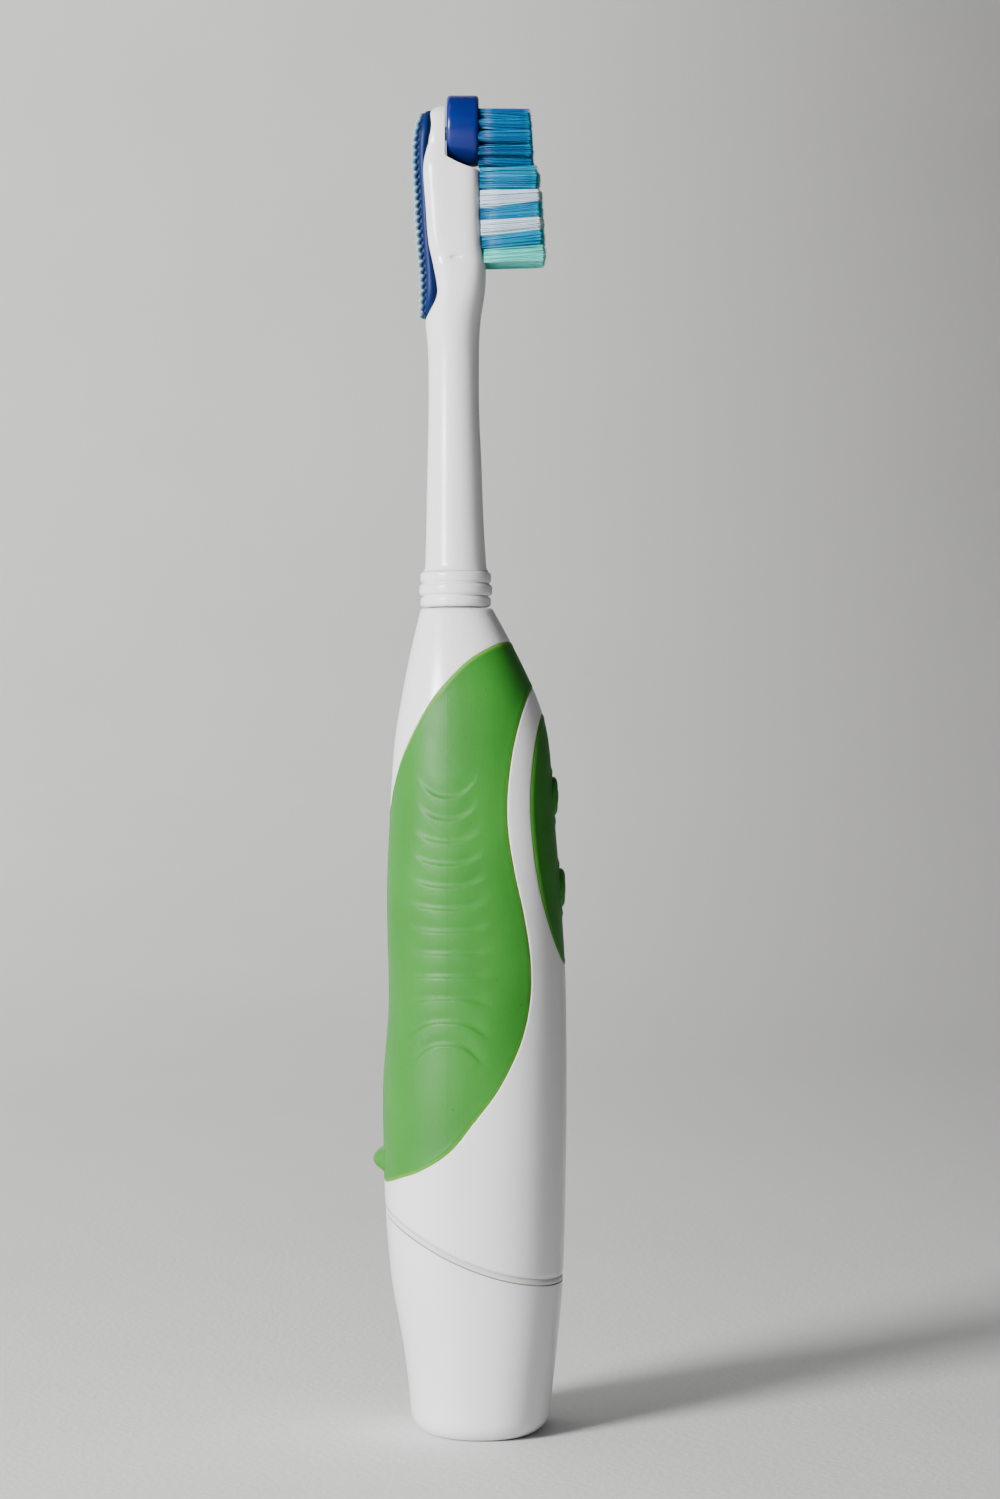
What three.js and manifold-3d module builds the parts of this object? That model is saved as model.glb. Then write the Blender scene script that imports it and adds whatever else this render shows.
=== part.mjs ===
// Battery toothbrush with an oscillating round head, standing on its flat base cap.
// Millimetres, +Z up along the brush. The bristles and the buttons face -Y, the tongue cleaner faces +Y.
// The origin is the centre of the flat underside of the base cap.

import * as THREE from 'three';
import { mergeVertices } from 'three/addons/utils/BufferGeometryUtils.js';
import Module from 'manifold-3d';

const wasm = await Module();
wasm.setup();

// ---------------------------------------------------------------- driving dimensions

// Overall
const HANDLE_LENGTH = 144.4;
const HEAD_LENGTH = 89.2;
const BASE_CORNER = 3.5;
const GAP = 0.3;

// Cells and the walls around them
const CELL_DIAMETER = 14.2;
const CELL_LENGTH = 50.5;
const CELL_SPACING = 0.4;
const CELL_CLEARANCE = 0.35;
const CELL_SHOULDER = 1.9;
const ROOM_IN_FRONT = 8.1;
const ROOM_BEHIND = 10.2;
const CELL_NUB_RADIUS = 2.7;
const CELL_NUB_HEIGHT = 1;
const HOUSING_WALL = 1.2;
const SKIN_THICKNESS = 0.8;
const CAP_FLOOR = 2;
const CAP_WALL = 1.5;
const TONGUE_HALF_WIDTH = 7;
const TONGUE_THICKNESS = 1.3;
const TONGUE_RISE = 4;
const SEAM_BAND = 1.2;

// Contacts
const CONTACT_THICKNESS = 0.5;
const CONTACT_SPACE = 4;
const SPRING_RADIUS = 3;
const SPRING_WIRE = 0.25;
const SPRING_TURNS = 3;
const CARRIER_THICKNESS = 2;

// Motor
const MOTOR_Y = -0.9;
const MOTOR_WIDTH = 20;
const MOTOR_DEPTH = 15;
const MOTOR_CAN_LENGTH = 23;
const MOTOR_CAN_WALL = 0.8;
const MOTOR_END_THICKNESS = 2;
const MOTOR_BOSS_RADIUS = 3;
const MOTOR_BOSS_HEIGHT = 1.4;
const MOTOR_SHAFT_RADIUS = 1;
const ARMATURE_RADIUS = 5.1;
const MAGNET_THICKNESS = 0.8;

// Gears and crank
const PINION_TEETH = 10;
const CROWN_TEETH = 30;
const TOOTH_PITCH = Math.PI / 2;
const PINION_HEIGHT = 4.7;
const CROWN_FACE_WIDTH = 1.2;
const CROWN_PLATE = 1.6;
const AXLE_RADIUS = 1;
const RUNNING_CLEARANCE = 0.15;
const STROKE = 1.3;
const CRANK_PIN_RADIUS = 0.8;
const CRANK_PIN_LENGTH = 1.1;
const YOKE_THICKNESS = 1.6;

// Drive shaft and nose
const NECK_Y = 4.4;
const SHAFT_RADIUS = 1.25;
const BUSHING_RADIUS = 2.6;
const BUSHING_LENGTH = 3.7;
const NOSE_RADIUS = 4;
const NOSE_HEIGHT = 11.6;
const NOSE_ROOT = 4.5;
const SHAFT_ABOVE_NOSE = 7;
const ORING_WIRE = 0.4;

// Buttons and their board
const BUTTON_RADIUS = 3.5;
const BUTTON_PROUD = 1;
const BUTTON_FLANGE = 0.6;
const BUTTON_LIP = 0.7;
const BUTTON_SETBACK = 1.2;
const BUTTON_TRAVEL = 0.8;
const BUTTON_PLACES = { on_button: 0.771, off_button: 0.659 };
const BOARD_FRONT = -6.9;
const BOARD_THICKNESS = 1;
const BOARD_HALF_WIDTH = 6.5;
const TACT_HEIGHT = 0.8;
const TACT_WIDTH = 4.4;
const WIRE_RADIUS = 0.5;

// Brush head
const COLLAR_RADIUS = 6.45;
const COLLAR_HEIGHT = 6.7;
const SOCKET_CLEARANCE = 0.3;
const HEAD_HALF_WIDTH = 6.4;
const DISC_RADIUS = 6.27;
const DISC_FRONT = 0.35;
const DISC_BACK = 6;
const DISC_BELOW_TIP = 4.8;
const DISC_PIN_RADIUS = 0.8;
const LINK_OFFSET = 3.6;
const LINK_ROD_RADIUS = 0.7;
const LINK_SOCKET_RADIUS = 2.4;
const LINK_SOCKET_LENGTH = 9.5;
const TUFT_HALF_WIDTH = 4.9;
const DISC_BRISTLE_LENGTH = 9;
const PAD_HALF_WIDTH = 5.2;
const NUB_RISE = 1.8;

// ---------------------------------------------------------------- derived positions

const SKIN_DEPTH = SKIN_THICKNESS + GAP;
const WALL_DEPTH = SKIN_DEPTH + HOUSING_WALL;
const CELL_RADIUS = CELL_DIAMETER / 2;
const CELL_X = CELL_RADIUS + CELL_SPACING / 2;
const CELL_HALF_WIDTH = CELL_X + CELL_RADIUS + CELL_CLEARANCE + WALL_DEPTH;
const BRIDGE_BASE = CAP_FLOOR + GAP;
const CELL_BASE = BRIDGE_BASE + CONTACT_THICKNESS + CONTACT_SPACE + GAP;
const CELL_TOP = CELL_BASE + CELL_LENGTH;
const CARRIER_BASE = CELL_TOP + CONTACT_SPACE;
const MOTOR_BASE = CARRIER_BASE + CARRIER_THICKNESS + GAP;
const CAN_BASE = MOTOR_BASE + MOTOR_END_THICKNESS + GAP;
const CAN_TOP = CAN_BASE + MOTOR_CAN_LENGTH;
const CHASSIS_BASE = CAN_TOP + GAP;
const CHASSIS_PLATE = 1.2;
const PINION_BASE = CHASSIS_BASE + CHASSIS_PLATE + GAP;
const PINION_RADIUS = (PINION_TEETH * TOOTH_PITCH) / (2 * Math.PI);
const CROWN_RADIUS = (CROWN_TEETH * TOOTH_PITCH) / (2 * Math.PI);
const CROWN_OUTER = CROWN_RADIUS + CROWN_FACE_WIDTH / 2 + 0.2;
const CROWN_Z = PINION_BASE + PINION_HEIGHT / 2 + CROWN_RADIUS;
const PINION_TIP = PINION_RADIUS + 0.45;
const CROWN_TOOTH_TIP = MOTOR_Y + PINION_RADIUS - 0.25;
const CROWN_PLATE_FRONT = MOTOR_Y + PINION_TIP + GAP;
const CROWN_PLATE_BACK = CROWN_PLATE_FRONT + CROWN_PLATE;
const YOKE_FRONT = CROWN_PLATE_BACK + CRANK_PIN_LENGTH + GAP;
const YOKE_BOSS_BASE = CROWN_Z + CROWN_OUTER + STROKE + 0.5;
const YOKE_BOSS_HEIGHT = 4.3;
const BRIDGE_Z = YOKE_BOSS_BASE + YOKE_BOSS_HEIGHT + STROKE + 1.6;
const BRIDGE_HEIGHT = BUSHING_LENGTH + GAP;
const PLATE_BACK = MOTOR_Y - PINION_TIP - 0.5;
const PLATE_FRONT = BOARD_FRONT + BOARD_THICKNESS + GAP;
const NOSE_TOP = HANDLE_LENGTH + NOSE_HEIGHT;
const SHAFT_TOP = NOSE_TOP + SHAFT_ABOVE_NOSE;
const HEAD_BASE = HANDLE_LENGTH + GAP;
const HEAD_TOP = HANDLE_LENGTH + HEAD_LENGTH;
const DISC_Z = HEAD_TOP - DISC_BELOW_TIP;
const SOCKET_BASE = NOSE_TOP + STROKE + 1.2;
const SOCKET_TOP = SOCKET_BASE + LINK_SOCKET_LENGTH;
const ORING_Z = HANDLE_LENGTH + 5.1;
const BUTTON_HEIGHTS = {
  on_button: BUTTON_PLACES.on_button * HANDLE_LENGTH,
  off_button: BUTTON_PLACES.off_button * HANDLE_LENGTH,
};

// ---------------------------------------------------------------- shape helpers

// A smooth curve through [t, value] pairs that never overshoots between them.
function smoothThrough(pairs) {
  const slopes = pairs.slice(1).map(([t, v], i) => (v - pairs[i][1]) / (t - pairs[i][0]));
  const tangents = pairs.map((_, i) => {
    const before = slopes[i - 1] ?? slopes[0];
    const after = slopes[i] ?? slopes[slopes.length - 1];
    return before * after > 0 ? (2 * before * after) / (before + after) : 0;
  });
  return (t) => {
    let i = 0;
    while (i < pairs.length - 2 && t > pairs[i + 1][0]) i += 1;
    const width = pairs[i + 1][0] - pairs[i][0];
    const u = Math.min(1, Math.max(0, (t - pairs[i][0]) / width));
    const left = pairs[i][1] * (1 + 2 * u) * (1 - u) ** 2 + tangents[i] * width * u * (1 - u) ** 2;
    const right = pairs[i + 1][1] * u * u * (3 - 2 * u) + tangents[i + 1] * width * u * u * (u - 1);
    return left + right;
  };
}

// A closed body of stacked sections: section(z) gives the front, back, half width and squareness.
function loft(heights, section, sides) {
  const positions = [];
  const faces = [];
  for (const z of heights) {
    const { front, back, half, power } = section(z);
    for (let k = 0; k < sides; k += 1) {
      const angle = (2 * Math.PI * k) / sides;
      const across = Math.sign(Math.cos(angle)) * Math.abs(Math.cos(angle)) ** (2 / power);
      const along = Math.sign(Math.sin(angle)) * Math.abs(Math.sin(angle)) ** (2 / power);
      positions.push(half * across, (front + back) / 2 + ((back - front) / 2) * along, z);
    }
  }
  for (let row = 0; row < heights.length - 1; row += 1) {
    for (let k = 0; k < sides; k += 1) {
      const a = row * sides + k;
      const b = row * sides + ((k + 1) % sides);
      faces.push(a, b, b + sides, a, b + sides, a + sides);
    }
  }
  const top = (heights.length - 1) * sides;
  for (let k = 1; k < sides - 1; k += 1) {
    faces.push(0, k + 1, k, top, top + k, top + k + 1);
  }
  const geometry = new THREE.BufferGeometry();
  geometry.setAttribute('position', new THREE.Float32BufferAttribute(positions, 3));
  geometry.setIndex(faces);
  return geometry;
}

function toSolid(geometry) {
  const bare = geometry.clone();
  bare.deleteAttribute('normal');
  bare.deleteAttribute('uv');
  const merged = mergeVertices(bare, 1e-4);
  return new wasm.Manifold(new wasm.Mesh({
    numProp: 3,
    vertProperties: new Float32Array(merged.attributes.position.array),
    triVerts: new Uint32Array(merged.index.array),
  }));
}

function toGeometry(solid) {
  const { vertProperties, triVerts } = solid.getMesh();
  const geometry = new THREE.BufferGeometry();
  geometry.setAttribute('position', new THREE.Float32BufferAttribute(vertProperties, 3));
  geometry.setIndex(Array.from(triVerts));
  return geometry;
}

function box([x0, y0, z0], [x1, y1, z1]) {
  const geometry = new THREE.BoxGeometry(x1 - x0, y1 - y0, z1 - z0);
  return toSolid(geometry.translate((x0 + x1) / 2, (y0 + y1) / 2, (z0 + z1) / 2));
}

// A cylinder along Z from z0 to z1.
function post(radius, x, y, z0, z1, sides = 24) {
  const geometry = new THREE.CylinderGeometry(radius, radius, z1 - z0, sides);
  return toSolid(geometry.rotateX(Math.PI / 2).translate(x, y, (z0 + z1) / 2));
}

// A cylinder along Y from y0 to y1.
function pin(radius, x, z, y0, y1, sides = 24) {
  const geometry = new THREE.CylinderGeometry(radius, radius, y1 - y0, sides);
  return toSolid(geometry.translate(x, (y0 + y1) / 2, z));
}

// A side-view outline of [y, z] points, extruded along X between two planes.
function sidePrism(points, x0, x1) {
  const shape = new THREE.Shape(points.map(([y, z]) => new THREE.Vector2(y, z)));
  const geometry = new THREE.ExtrudeGeometry(shape, { depth: x1 - x0, bevelEnabled: false });
  const basis = new THREE.Matrix4().makeBasis(
    new THREE.Vector3(0, 1, 0),
    new THREE.Vector3(0, 0, 1),
    new THREE.Vector3(1, 0, 0),
  );
  return toSolid(geometry.applyMatrix4(basis).translate(x0, 0, 0));
}

// A round wire or rod along a curve through [x, y, z] points.
function wire(points, radius, sides, steps) {
  const curve = new THREE.CatmullRomCurve3(points.map((p) => new THREE.Vector3(...p)));
  const round = new THREE.Shape();
  for (let k = 0; k < sides; k += 1) {
    const angle = (2 * Math.PI * k) / sides;
    const [u, v] = [radius * Math.cos(angle), radius * Math.sin(angle)];
    if (k === 0) round.moveTo(u, v);
    else round.lineTo(u, v);
  }
  return new THREE.ExtrudeGeometry(round, { steps, extrudePath: curve, bevelEnabled: false });
}

// A piece turned about the Z axis from [radius, z] points that start and end on the axis.
function turned(profile, sides = 32) {
  const points = profile.map(([r, z]) => new THREE.Vector2(r, z));
  return new THREE.LatheGeometry(points, sides).rotateX(Math.PI / 2);
}

function offsetOutline(points, distance) {
  return points.map(([y, z], i) => {
    const [y0, z0] = points[(i + points.length - 1) % points.length];
    const [y1, z1] = points[(i + 1) % points.length];
    const length = Math.hypot(y1 - y0, z1 - z0);
    return [y + (distance * (z1 - z0)) / length, z - (distance * (y1 - y0)) / length];
  });
}

function curveThrough(points, divisions) {
  const curve = new THREE.SplineCurve(points.map(([y, z]) => new THREE.Vector2(y, z)));
  return curve.getPoints(divisions).map((p) => [p.x, p.y]);
}

// ---------------------------------------------------------------- the handle's outer form

// [share of the handle's length, then the front, the back and the half width as shares of their widest]
const HANDLE_STATIONS = [
  [0, 0.796, 0.699, 0.945],
  [0.033, 0.816, 0.717, 0.958],
  [0.094, 0.882, 0.775, 0.972],
  [0.192, 0.961, 0.919, 0.988],
  [0.302, 0.987, 0.983, 1],
  [(CELL_TOP + CELL_SHOULDER) / HANDLE_LENGTH, 1, 1, 1],
  [0.523, 0.993, 0.936, 0.94],
  [0.645, 0.934, 0.96, 0.875],
  [0.767, 0.842, 0.919, 0.8],
  [0.841, 0.793, 0.879, 0.728],
  [0.888, 0.674, 0.812, 0.652],
  [0.925, 0.513, 0.757, 0.58],
  [0.963, 0.336, 0.688, 0.487],
  [1, 0.138, 0.613, 0.382],
];
const HANDLE_SQUARENESS = 2.3;
const HANDLE_SIDES = 32;
const HANDLE_ROWS = 15;

function stationCurve(column, widest) {
  return smoothThrough(HANDLE_STATIONS.map((row) => [row[0] * HANDLE_LENGTH, row[column] * widest]));
}

const frontAt = stationCurve(1, -CELL_RADIUS - ROOM_IN_FRONT);
const backAt = stationCurve(2, CELL_RADIUS + ROOM_BEHIND);
const halfAt = stationCurve(3, CELL_HALF_WIDTH);

// How far the rounded bottom corner draws the side in at height z.
function cornerInset(z) {
  const up = Math.min(BASE_CORNER, Math.max(0, BASE_CORNER - z));
  return BASE_CORNER - Math.sqrt(BASE_CORNER ** 2 - up ** 2);
}

function handleSection(inset) {
  return (z) => {
    const draw = inset + cornerInset(z);
    return {
      front: frontAt(z) + draw,
      back: backAt(z) - draw,
      half: halfAt(z) - draw,
      power: HANDLE_SQUARENESS,
    };
  };
}

function heightsBetween(low, high, count) {
  return Array.from({ length: count + 1 }, (_, i) => low + ((high - low) * i) / count);
}

const CORNER_HEIGHTS = [0, 0.12, 0.5, 1.1, 2].map((share) => (share * BASE_CORNER) / 2);

function handleBody(inset, low, high, count) {
  const corner = CORNER_HEIGHTS.filter((z) => z > low && z < BASE_CORNER);
  const start = Math.max(low, BASE_CORNER + 1);
  const heights = low < BASE_CORNER ? [low, ...corner, ...heightsBetween(start, high, count)]
    : heightsBetween(low, high, count);
  return toSolid(loft(heights, handleSection(inset), HANDLE_SIDES));
}

const outerBody = handleBody(0, 0, HANDLE_LENGTH, HANDLE_ROWS);

// The slanting, slightly curved line where the base cap meets the handle.
function seamAt(y) {
  const rise = 0.355 * y + 0.0098 * y * y;
  return 30.5 + rise;
}

const FAR = 30;

// Everything below the seam line moved up by lift.
function belowSeam(lift) {
  const line = heightsBetween(-FAR, FAR, 12).map((y) => [y, seamAt(y) + lift]);
  return sidePrism([[-FAR, -FAR], [FAR, -FAR], ...line.reverse()], -FAR, FAR);
}

// ---------------------------------------------------------------- soft grip and button panel outlines

// Side-view edges as [y, share of the handle's length].
const GRIP_UPPER_EDGE = [
  [-4.6, 0.96], [1, 0.941], [7.1, 0.9005], [12.3, 0.8415], [14.9, 0.7955], [16, 0.765], [17.2, 0.745],
];
const GRIP_LOWER_EDGE = [
  [19, 0.298], [15.5, 0.308], [10.4, 0.324], [3.5, 0.361], [-3.4, 0.4245], [-7.5, 0.4845],
  [-8.9, 0.547], [-8.4, 0.602], [-6.1, 0.679], [-4.8, 0.758], [-6.3, 0.843], [-9.2, 0.904],
];
const PANEL_EDGE = [
  [-12, 0.8795], [-10.4, 0.8645], [-9, 0.807], [-8.65, 0.762], [-9.4, 0.696], [-11.2, 0.6335],
  [-13.5, 0.584], [-16, 0.562],
];

const inMillimetres = ([y, share]) => [y, share * HANDLE_LENGTH];
const gripOutline = [
  [-FAR, 0.962 * HANDLE_LENGTH],
  [-FAR, GRIP_LOWER_EDGE[GRIP_LOWER_EDGE.length - 1][1] * HANDLE_LENGTH],
  ...curveThrough(GRIP_LOWER_EDGE.map(inMillimetres), 18).reverse(),
  [FAR, 0.298 * HANDLE_LENGTH],
  [FAR, 0.745 * HANDLE_LENGTH],
  ...curveThrough(GRIP_UPPER_EDGE.map(inMillimetres), 10).reverse(),
];
const panelOutline = [
  ...curveThrough(PANEL_EDGE.map(inMillimetres), 12).reverse(),
  [-FAR, 0.8795 * HANDLE_LENGTH],
  [-FAR, 0.562 * HANDLE_LENGTH],
];

// The skin lies in a band under the surface, and its recess is cut from outside it.
const skinBand = outerBody.subtract(handleBody(SKIN_THICKNESS, -1, HANDLE_LENGTH + 1, HANDLE_ROWS));
const recessBand = handleBody(-1, 0, HANDLE_LENGTH + 1, HANDLE_ROWS)
  .subtract(handleBody(SKIN_DEPTH, -1, HANDLE_LENGTH + 2, HANDLE_ROWS));

// ---------------------------------------------------------------- pieces

const brush = new THREE.Group();

function add(name, shape, colour, roughness, metalness = 0) {
  const geometry = shape.isBufferGeometry ? shape : toGeometry(shape);
  const material = new THREE.MeshStandardMaterial({ color: colour, roughness, metalness });
  const mesh = new THREE.Mesh(geometry, material);
  mesh.name = name;
  brush.add(mesh);
}

const WHITE = 0xd9dade;
const GREEN = 0x63a04a;
const BLUE = 0x0f47a0;
const STEEL = 0xb8bcc2;
const BRASS = 0xb59a55;
const BLACK = 0x22242a;

// Base cap: floor, wall, and two curved tongues that plug into the handle.
function baseCap() {
  const shell = outerBody.intersect(belowSeam(-SEAM_BAND));
  const hollow = handleBody(CAP_WALL, CAP_FLOOR, HANDLE_LENGTH / 2, 6);
  const tongueOuter = handleBody(WALL_DEPTH + GAP, CAP_FLOOR / 2, HANDLE_LENGTH / 2, 6);
  const tongueInner = handleBody(WALL_DEPTH + GAP + TONGUE_THICKNESS, CAP_FLOOR / 2, HANDLE_LENGTH / 2, 6);
  const across = box([-TONGUE_HALF_WIDTH, -FAR, CAP_FLOOR / 2], [TONGUE_HALF_WIDTH, FAR, HANDLE_LENGTH / 2]);
  const tongues = tongueOuter.subtract(tongueInner).intersect(across).intersect(belowSeam(TONGUE_RISE));
  const ribs = handleBody(CAP_WALL - 0.5, CAP_FLOOR / 2, HANDLE_LENGTH / 2, 6)
    .subtract(tongueInner).intersect(across).intersect(belowSeam(-SEAM_BAND - 3));
  return shell.subtract(hollow).add(tongues).add(ribs);
}

function capGasket() {
  const ring = outerBody.subtract(handleBody(CAP_WALL, -1, HANDLE_LENGTH, HANDLE_ROWS));
  return ring.intersect(belowSeam(-GAP)).subtract(belowSeam(GAP - SEAM_BAND));
}

// Series link under the cells: a strip with a raised stud under the right cell.
function contactBridge() {
  const strip = box(
    [-CELL_X - SPRING_RADIUS, -SPRING_RADIUS, BRIDGE_BASE],
    [CELL_X + SPRING_RADIUS, SPRING_RADIUS, BRIDGE_BASE + CONTACT_THICKNESS],
  );
  const stud = post(CELL_NUB_RADIUS, CELL_X, 0, BRIDGE_BASE, CELL_BASE - GAP);
  return strip.add(stud);
}

function contactSpring(x, low, high) {
  const turns = heightsBetween(0, 1, 12 * SPRING_TURNS);
  const points = turns.map((t) => {
    const angle = 2 * Math.PI * SPRING_TURNS * t;
    const z = low + SPRING_WIRE + (high - low - 2 * SPRING_WIRE) * t;
    return [x + SPRING_RADIUS * Math.cos(angle), SPRING_RADIUS * Math.sin(angle), z];
  });
  return wire(points, SPRING_WIRE, 6, 12 * SPRING_TURNS);
}

// A cell with its nub up, or down when upright is false.
function cell(x, upright) {
  const nubLow = upright ? CELL_TOP - CELL_NUB_HEIGHT : CELL_BASE;
  const bodyLow = upright ? CELL_BASE : CELL_BASE + CELL_NUB_HEIGHT;
  const body = post(CELL_RADIUS, x, 0, bodyLow, bodyLow + CELL_LENGTH - CELL_NUB_HEIGHT, 32);
  return body.add(post(CELL_NUB_RADIUS, x, 0, nubLow - 0.1, nubLow + CELL_NUB_HEIGHT + 0.1, 16)
    .intersect(post(CELL_RADIUS, x, 0, CELL_BASE, CELL_TOP, 8)));
}

function nose() {
  return post(NOSE_RADIUS, 0, NECK_Y, HANDLE_LENGTH - NOSE_ROOT, NOSE_TOP, 32);
}

// One-piece handle shell with recesses for the soft grip and panel, button holes and the nose.
function handleHousing() {
  const shell = outerBody.subtract(belowSeam(0)).add(nose());
  const cavity = handleBody(WALL_DEPTH, 1, HANDLE_LENGTH - NOSE_ROOT - 0.5, HANDLE_ROWS);
  const recesses = recessBand.intersect(sidePrism(offsetOutline(gripOutline, GAP), -FAR, FAR))
    .add(recessBand.intersect(sidePrism(offsetOutline(panelOutline, GAP), -FAR, FAR)));
  const bore = post(SHAFT_RADIUS + GAP, 0, NECK_Y, HANDLE_LENGTH - 2 * NOSE_ROOT, NOSE_TOP + 1);
  const bushingSeat = post(BUSHING_RADIUS + GAP, 0, NECK_Y, HANDLE_LENGTH - 2 * NOSE_ROOT,
    HANDLE_LENGTH - NOSE_ROOT + BUSHING_LENGTH + 2 * GAP);
  const sealSeat = post(BUSHING_RADIUS + GAP, 0, NECK_Y, NOSE_TOP - BUSHING_LENGTH - GAP, NOSE_TOP + 1);
  const groove = post(NOSE_RADIUS + 1, 0, NECK_Y, ORING_Z - 2 * ORING_WIRE, ORING_Z + 2 * ORING_WIRE)
    .subtract(post(NOSE_RADIUS - ORING_WIRE - GAP, 0, NECK_Y, ORING_Z - 1, ORING_Z + 1));
  let housing = shell.subtract(cavity).subtract(recesses).subtract(bore);
  housing = housing.subtract(bushingSeat).subtract(sealSeat).subtract(groove);
  for (const z of Object.values(BUTTON_HEIGHTS)) {
    housing = housing.subtract(pin(BUTTON_RADIUS + GAP, 0, z, -FAR, BOARD_FRONT - GAP));
  }
  return housing;
}

// The soft grip, with the small ridge on its back that stops the brush rolling.
function gripOvermould() {
  const nubZ = 0.329 * HANDLE_LENGTH;
  const y = backAt(nubZ);
  const nub = sidePrism([
    [y - 0.5, nubZ - 2.2],
    [y + 0.6, nubZ - 1.9],
    [y + NUB_RISE, nubZ - 0.4],
    [y + NUB_RISE, nubZ + 0.3],
    [y + 0.7, nubZ + 2],
    [y - 0.5, nubZ + 2.4],
  ], -4.5, 4.5);
  return skinBand.intersect(sidePrism(gripOutline, -FAR, FAR)).add(nub);
}

function buttonPanel() {
  let panel = skinBand.intersect(sidePrism(panelOutline, -FAR, FAR));
  for (const z of Object.values(BUTTON_HEIGHTS)) {
    panel = panel.subtract(pin(BUTTON_RADIUS + GAP, 0, z, -FAR, BOARD_FRONT));
  }
  return panel;
}

// A domed push button with a flange behind the wall and a short stem.
function button(z) {
  const face = frontAt(z);
  const flange = face + WALL_DEPTH + BUTTON_SETBACK;
  const stem = BOARD_FRONT - TACT_HEIGHT - BUTTON_TRAVEL - GAP;
  const profile = [
    [0, -stem],
    [1.2, -stem],
    [1.2, -flange - BUTTON_FLANGE],
    [BUTTON_RADIUS + BUTTON_LIP, -flange - BUTTON_FLANGE],
    [BUTTON_RADIUS + BUTTON_LIP, -flange],
    [BUTTON_RADIUS, -flange],
    [BUTTON_RADIUS, -face + BUTTON_PROUD * 0.1],
    [BUTTON_RADIUS * 0.86, -face + BUTTON_PROUD * 0.6],
    [BUTTON_RADIUS * 0.52, -face + BUTTON_PROUD * 0.92],
    [0, -face + BUTTON_PROUD],
  ];
  return turned(profile, 20).rotateX(Math.PI / 2).translate(0, 0, z);
}

function contactCarrier() {
  const plate = handleBody(WALL_DEPTH + CELL_CLEARANCE, CARRIER_BASE, CARRIER_BASE + CARRIER_THICKNESS, 1);
  return plate.subtract(post(2, 0, 0, CARRIER_BASE - 1, CARRIER_BASE + CARRIER_THICKNESS + 1));
}

// The contact plate over the upright cell's nub, dimpled down to it.
function carrierContact() {
  const top = CARRIER_BASE - GAP;
  const plate = box(
    [-CELL_X - SPRING_RADIUS, -SPRING_RADIUS, top - CONTACT_THICKNESS],
    [-CELL_X + SPRING_RADIUS, SPRING_RADIUS, top],
  );
  return plate.add(post(CELL_NUB_RADIUS - 0.7, -CELL_X, 0, CELL_TOP + GAP, top));
}

// Halfway between the motor's side and the housing's inner wall, at height z and depth y.
function besideMotor(y, z) {
  const { front, back, half, power } = handleSection(WALL_DEPTH)(z);
  const offCentre = Math.abs(y - (front + back) / 2) / ((back - front) / 2);
  return (MOTOR_WIDTH / 2 + half * (1 - offCentre ** power) ** (1 / power)) / 2;
}

function leadWire(side) {
  const low = CARRIER_BASE + CARRIER_THICKNESS + GAP + WIRE_RADIUS;
  const up = [[MOTOR_Y - 0.5, low], [MOTOR_Y - 1.5, low + 12], [MOTOR_Y - 3.5, CAN_TOP - 1]];
  const points = [
    ...up.map(([y, z]) => [side * besideMotor(y, z), y, z]),
    [side * (MOTOR_WIDTH / 2 - 0.8), BOARD_FRONT + 0.8, CHASSIS_BASE + 5],
    [side * (BOARD_HALF_WIDTH + GAP + WIRE_RADIUS), BOARD_FRONT + BOARD_THICKNESS / 2, CHASSIS_BASE + 7.5],
  ];
  return wire(points, WIRE_RADIUS, 8, 16);
}

// A flat-sided can outline: a wide cylinder trimmed to the motor's depth.
function canBlock(shrink, low, high) {
  const round = post(MOTOR_WIDTH / 2 - shrink, 0, MOTOR_Y, low, high, 40);
  const half = MOTOR_DEPTH / 2 - shrink;
  return round.intersect(box([-FAR, MOTOR_Y - half, low], [FAR, MOTOR_Y + half, high]));
}

function motorCan() {
  const boss = post(MOTOR_BOSS_RADIUS, 0, MOTOR_Y, CAN_TOP - 0.5, CAN_TOP + MOTOR_BOSS_HEIGHT);
  const shell = canBlock(0, CAN_BASE, CAN_TOP).add(boss);
  const hollow = canBlock(MOTOR_CAN_WALL, CAN_BASE - 1, CAN_TOP - 1);
  return shell.subtract(hollow).subtract(post(MOTOR_SHAFT_RADIUS + GAP, 0, MOTOR_Y, CAN_BASE, CAN_TOP + 3));
}

function motorEndCap() {
  const bearing = post(MOTOR_SHAFT_RADIUS + GAP, 0, MOTOR_Y, MOTOR_BASE - 1, MOTOR_BASE + 3);
  return canBlock(0, MOTOR_BASE, MOTOR_BASE + MOTOR_END_THICKNESS).subtract(bearing);
}

const ARMATURE_LOW = CAN_BASE + 2.5;
const ARMATURE_HIGH = CAN_TOP - 4;

function armature() {
  let body = post(ARMATURE_RADIUS, 0, MOTOR_Y, ARMATURE_LOW, ARMATURE_HIGH, 30);
  for (let pole = 0; pole < 3; pole += 1) {
    const angle = (2 * Math.PI * (pole + 0.5)) / 3;
    const [x, y] = [ARMATURE_RADIUS * Math.cos(angle), ARMATURE_RADIUS * Math.sin(angle)];
    body = body.subtract(post(1.6, x, MOTOR_Y + y, ARMATURE_LOW - 1, ARMATURE_HIGH + 1, 12));
  }
  return body.subtract(post(MOTOR_SHAFT_RADIUS + GAP, 0, MOTOR_Y, ARMATURE_LOW - 1, ARMATURE_HIGH + 1));
}

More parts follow.
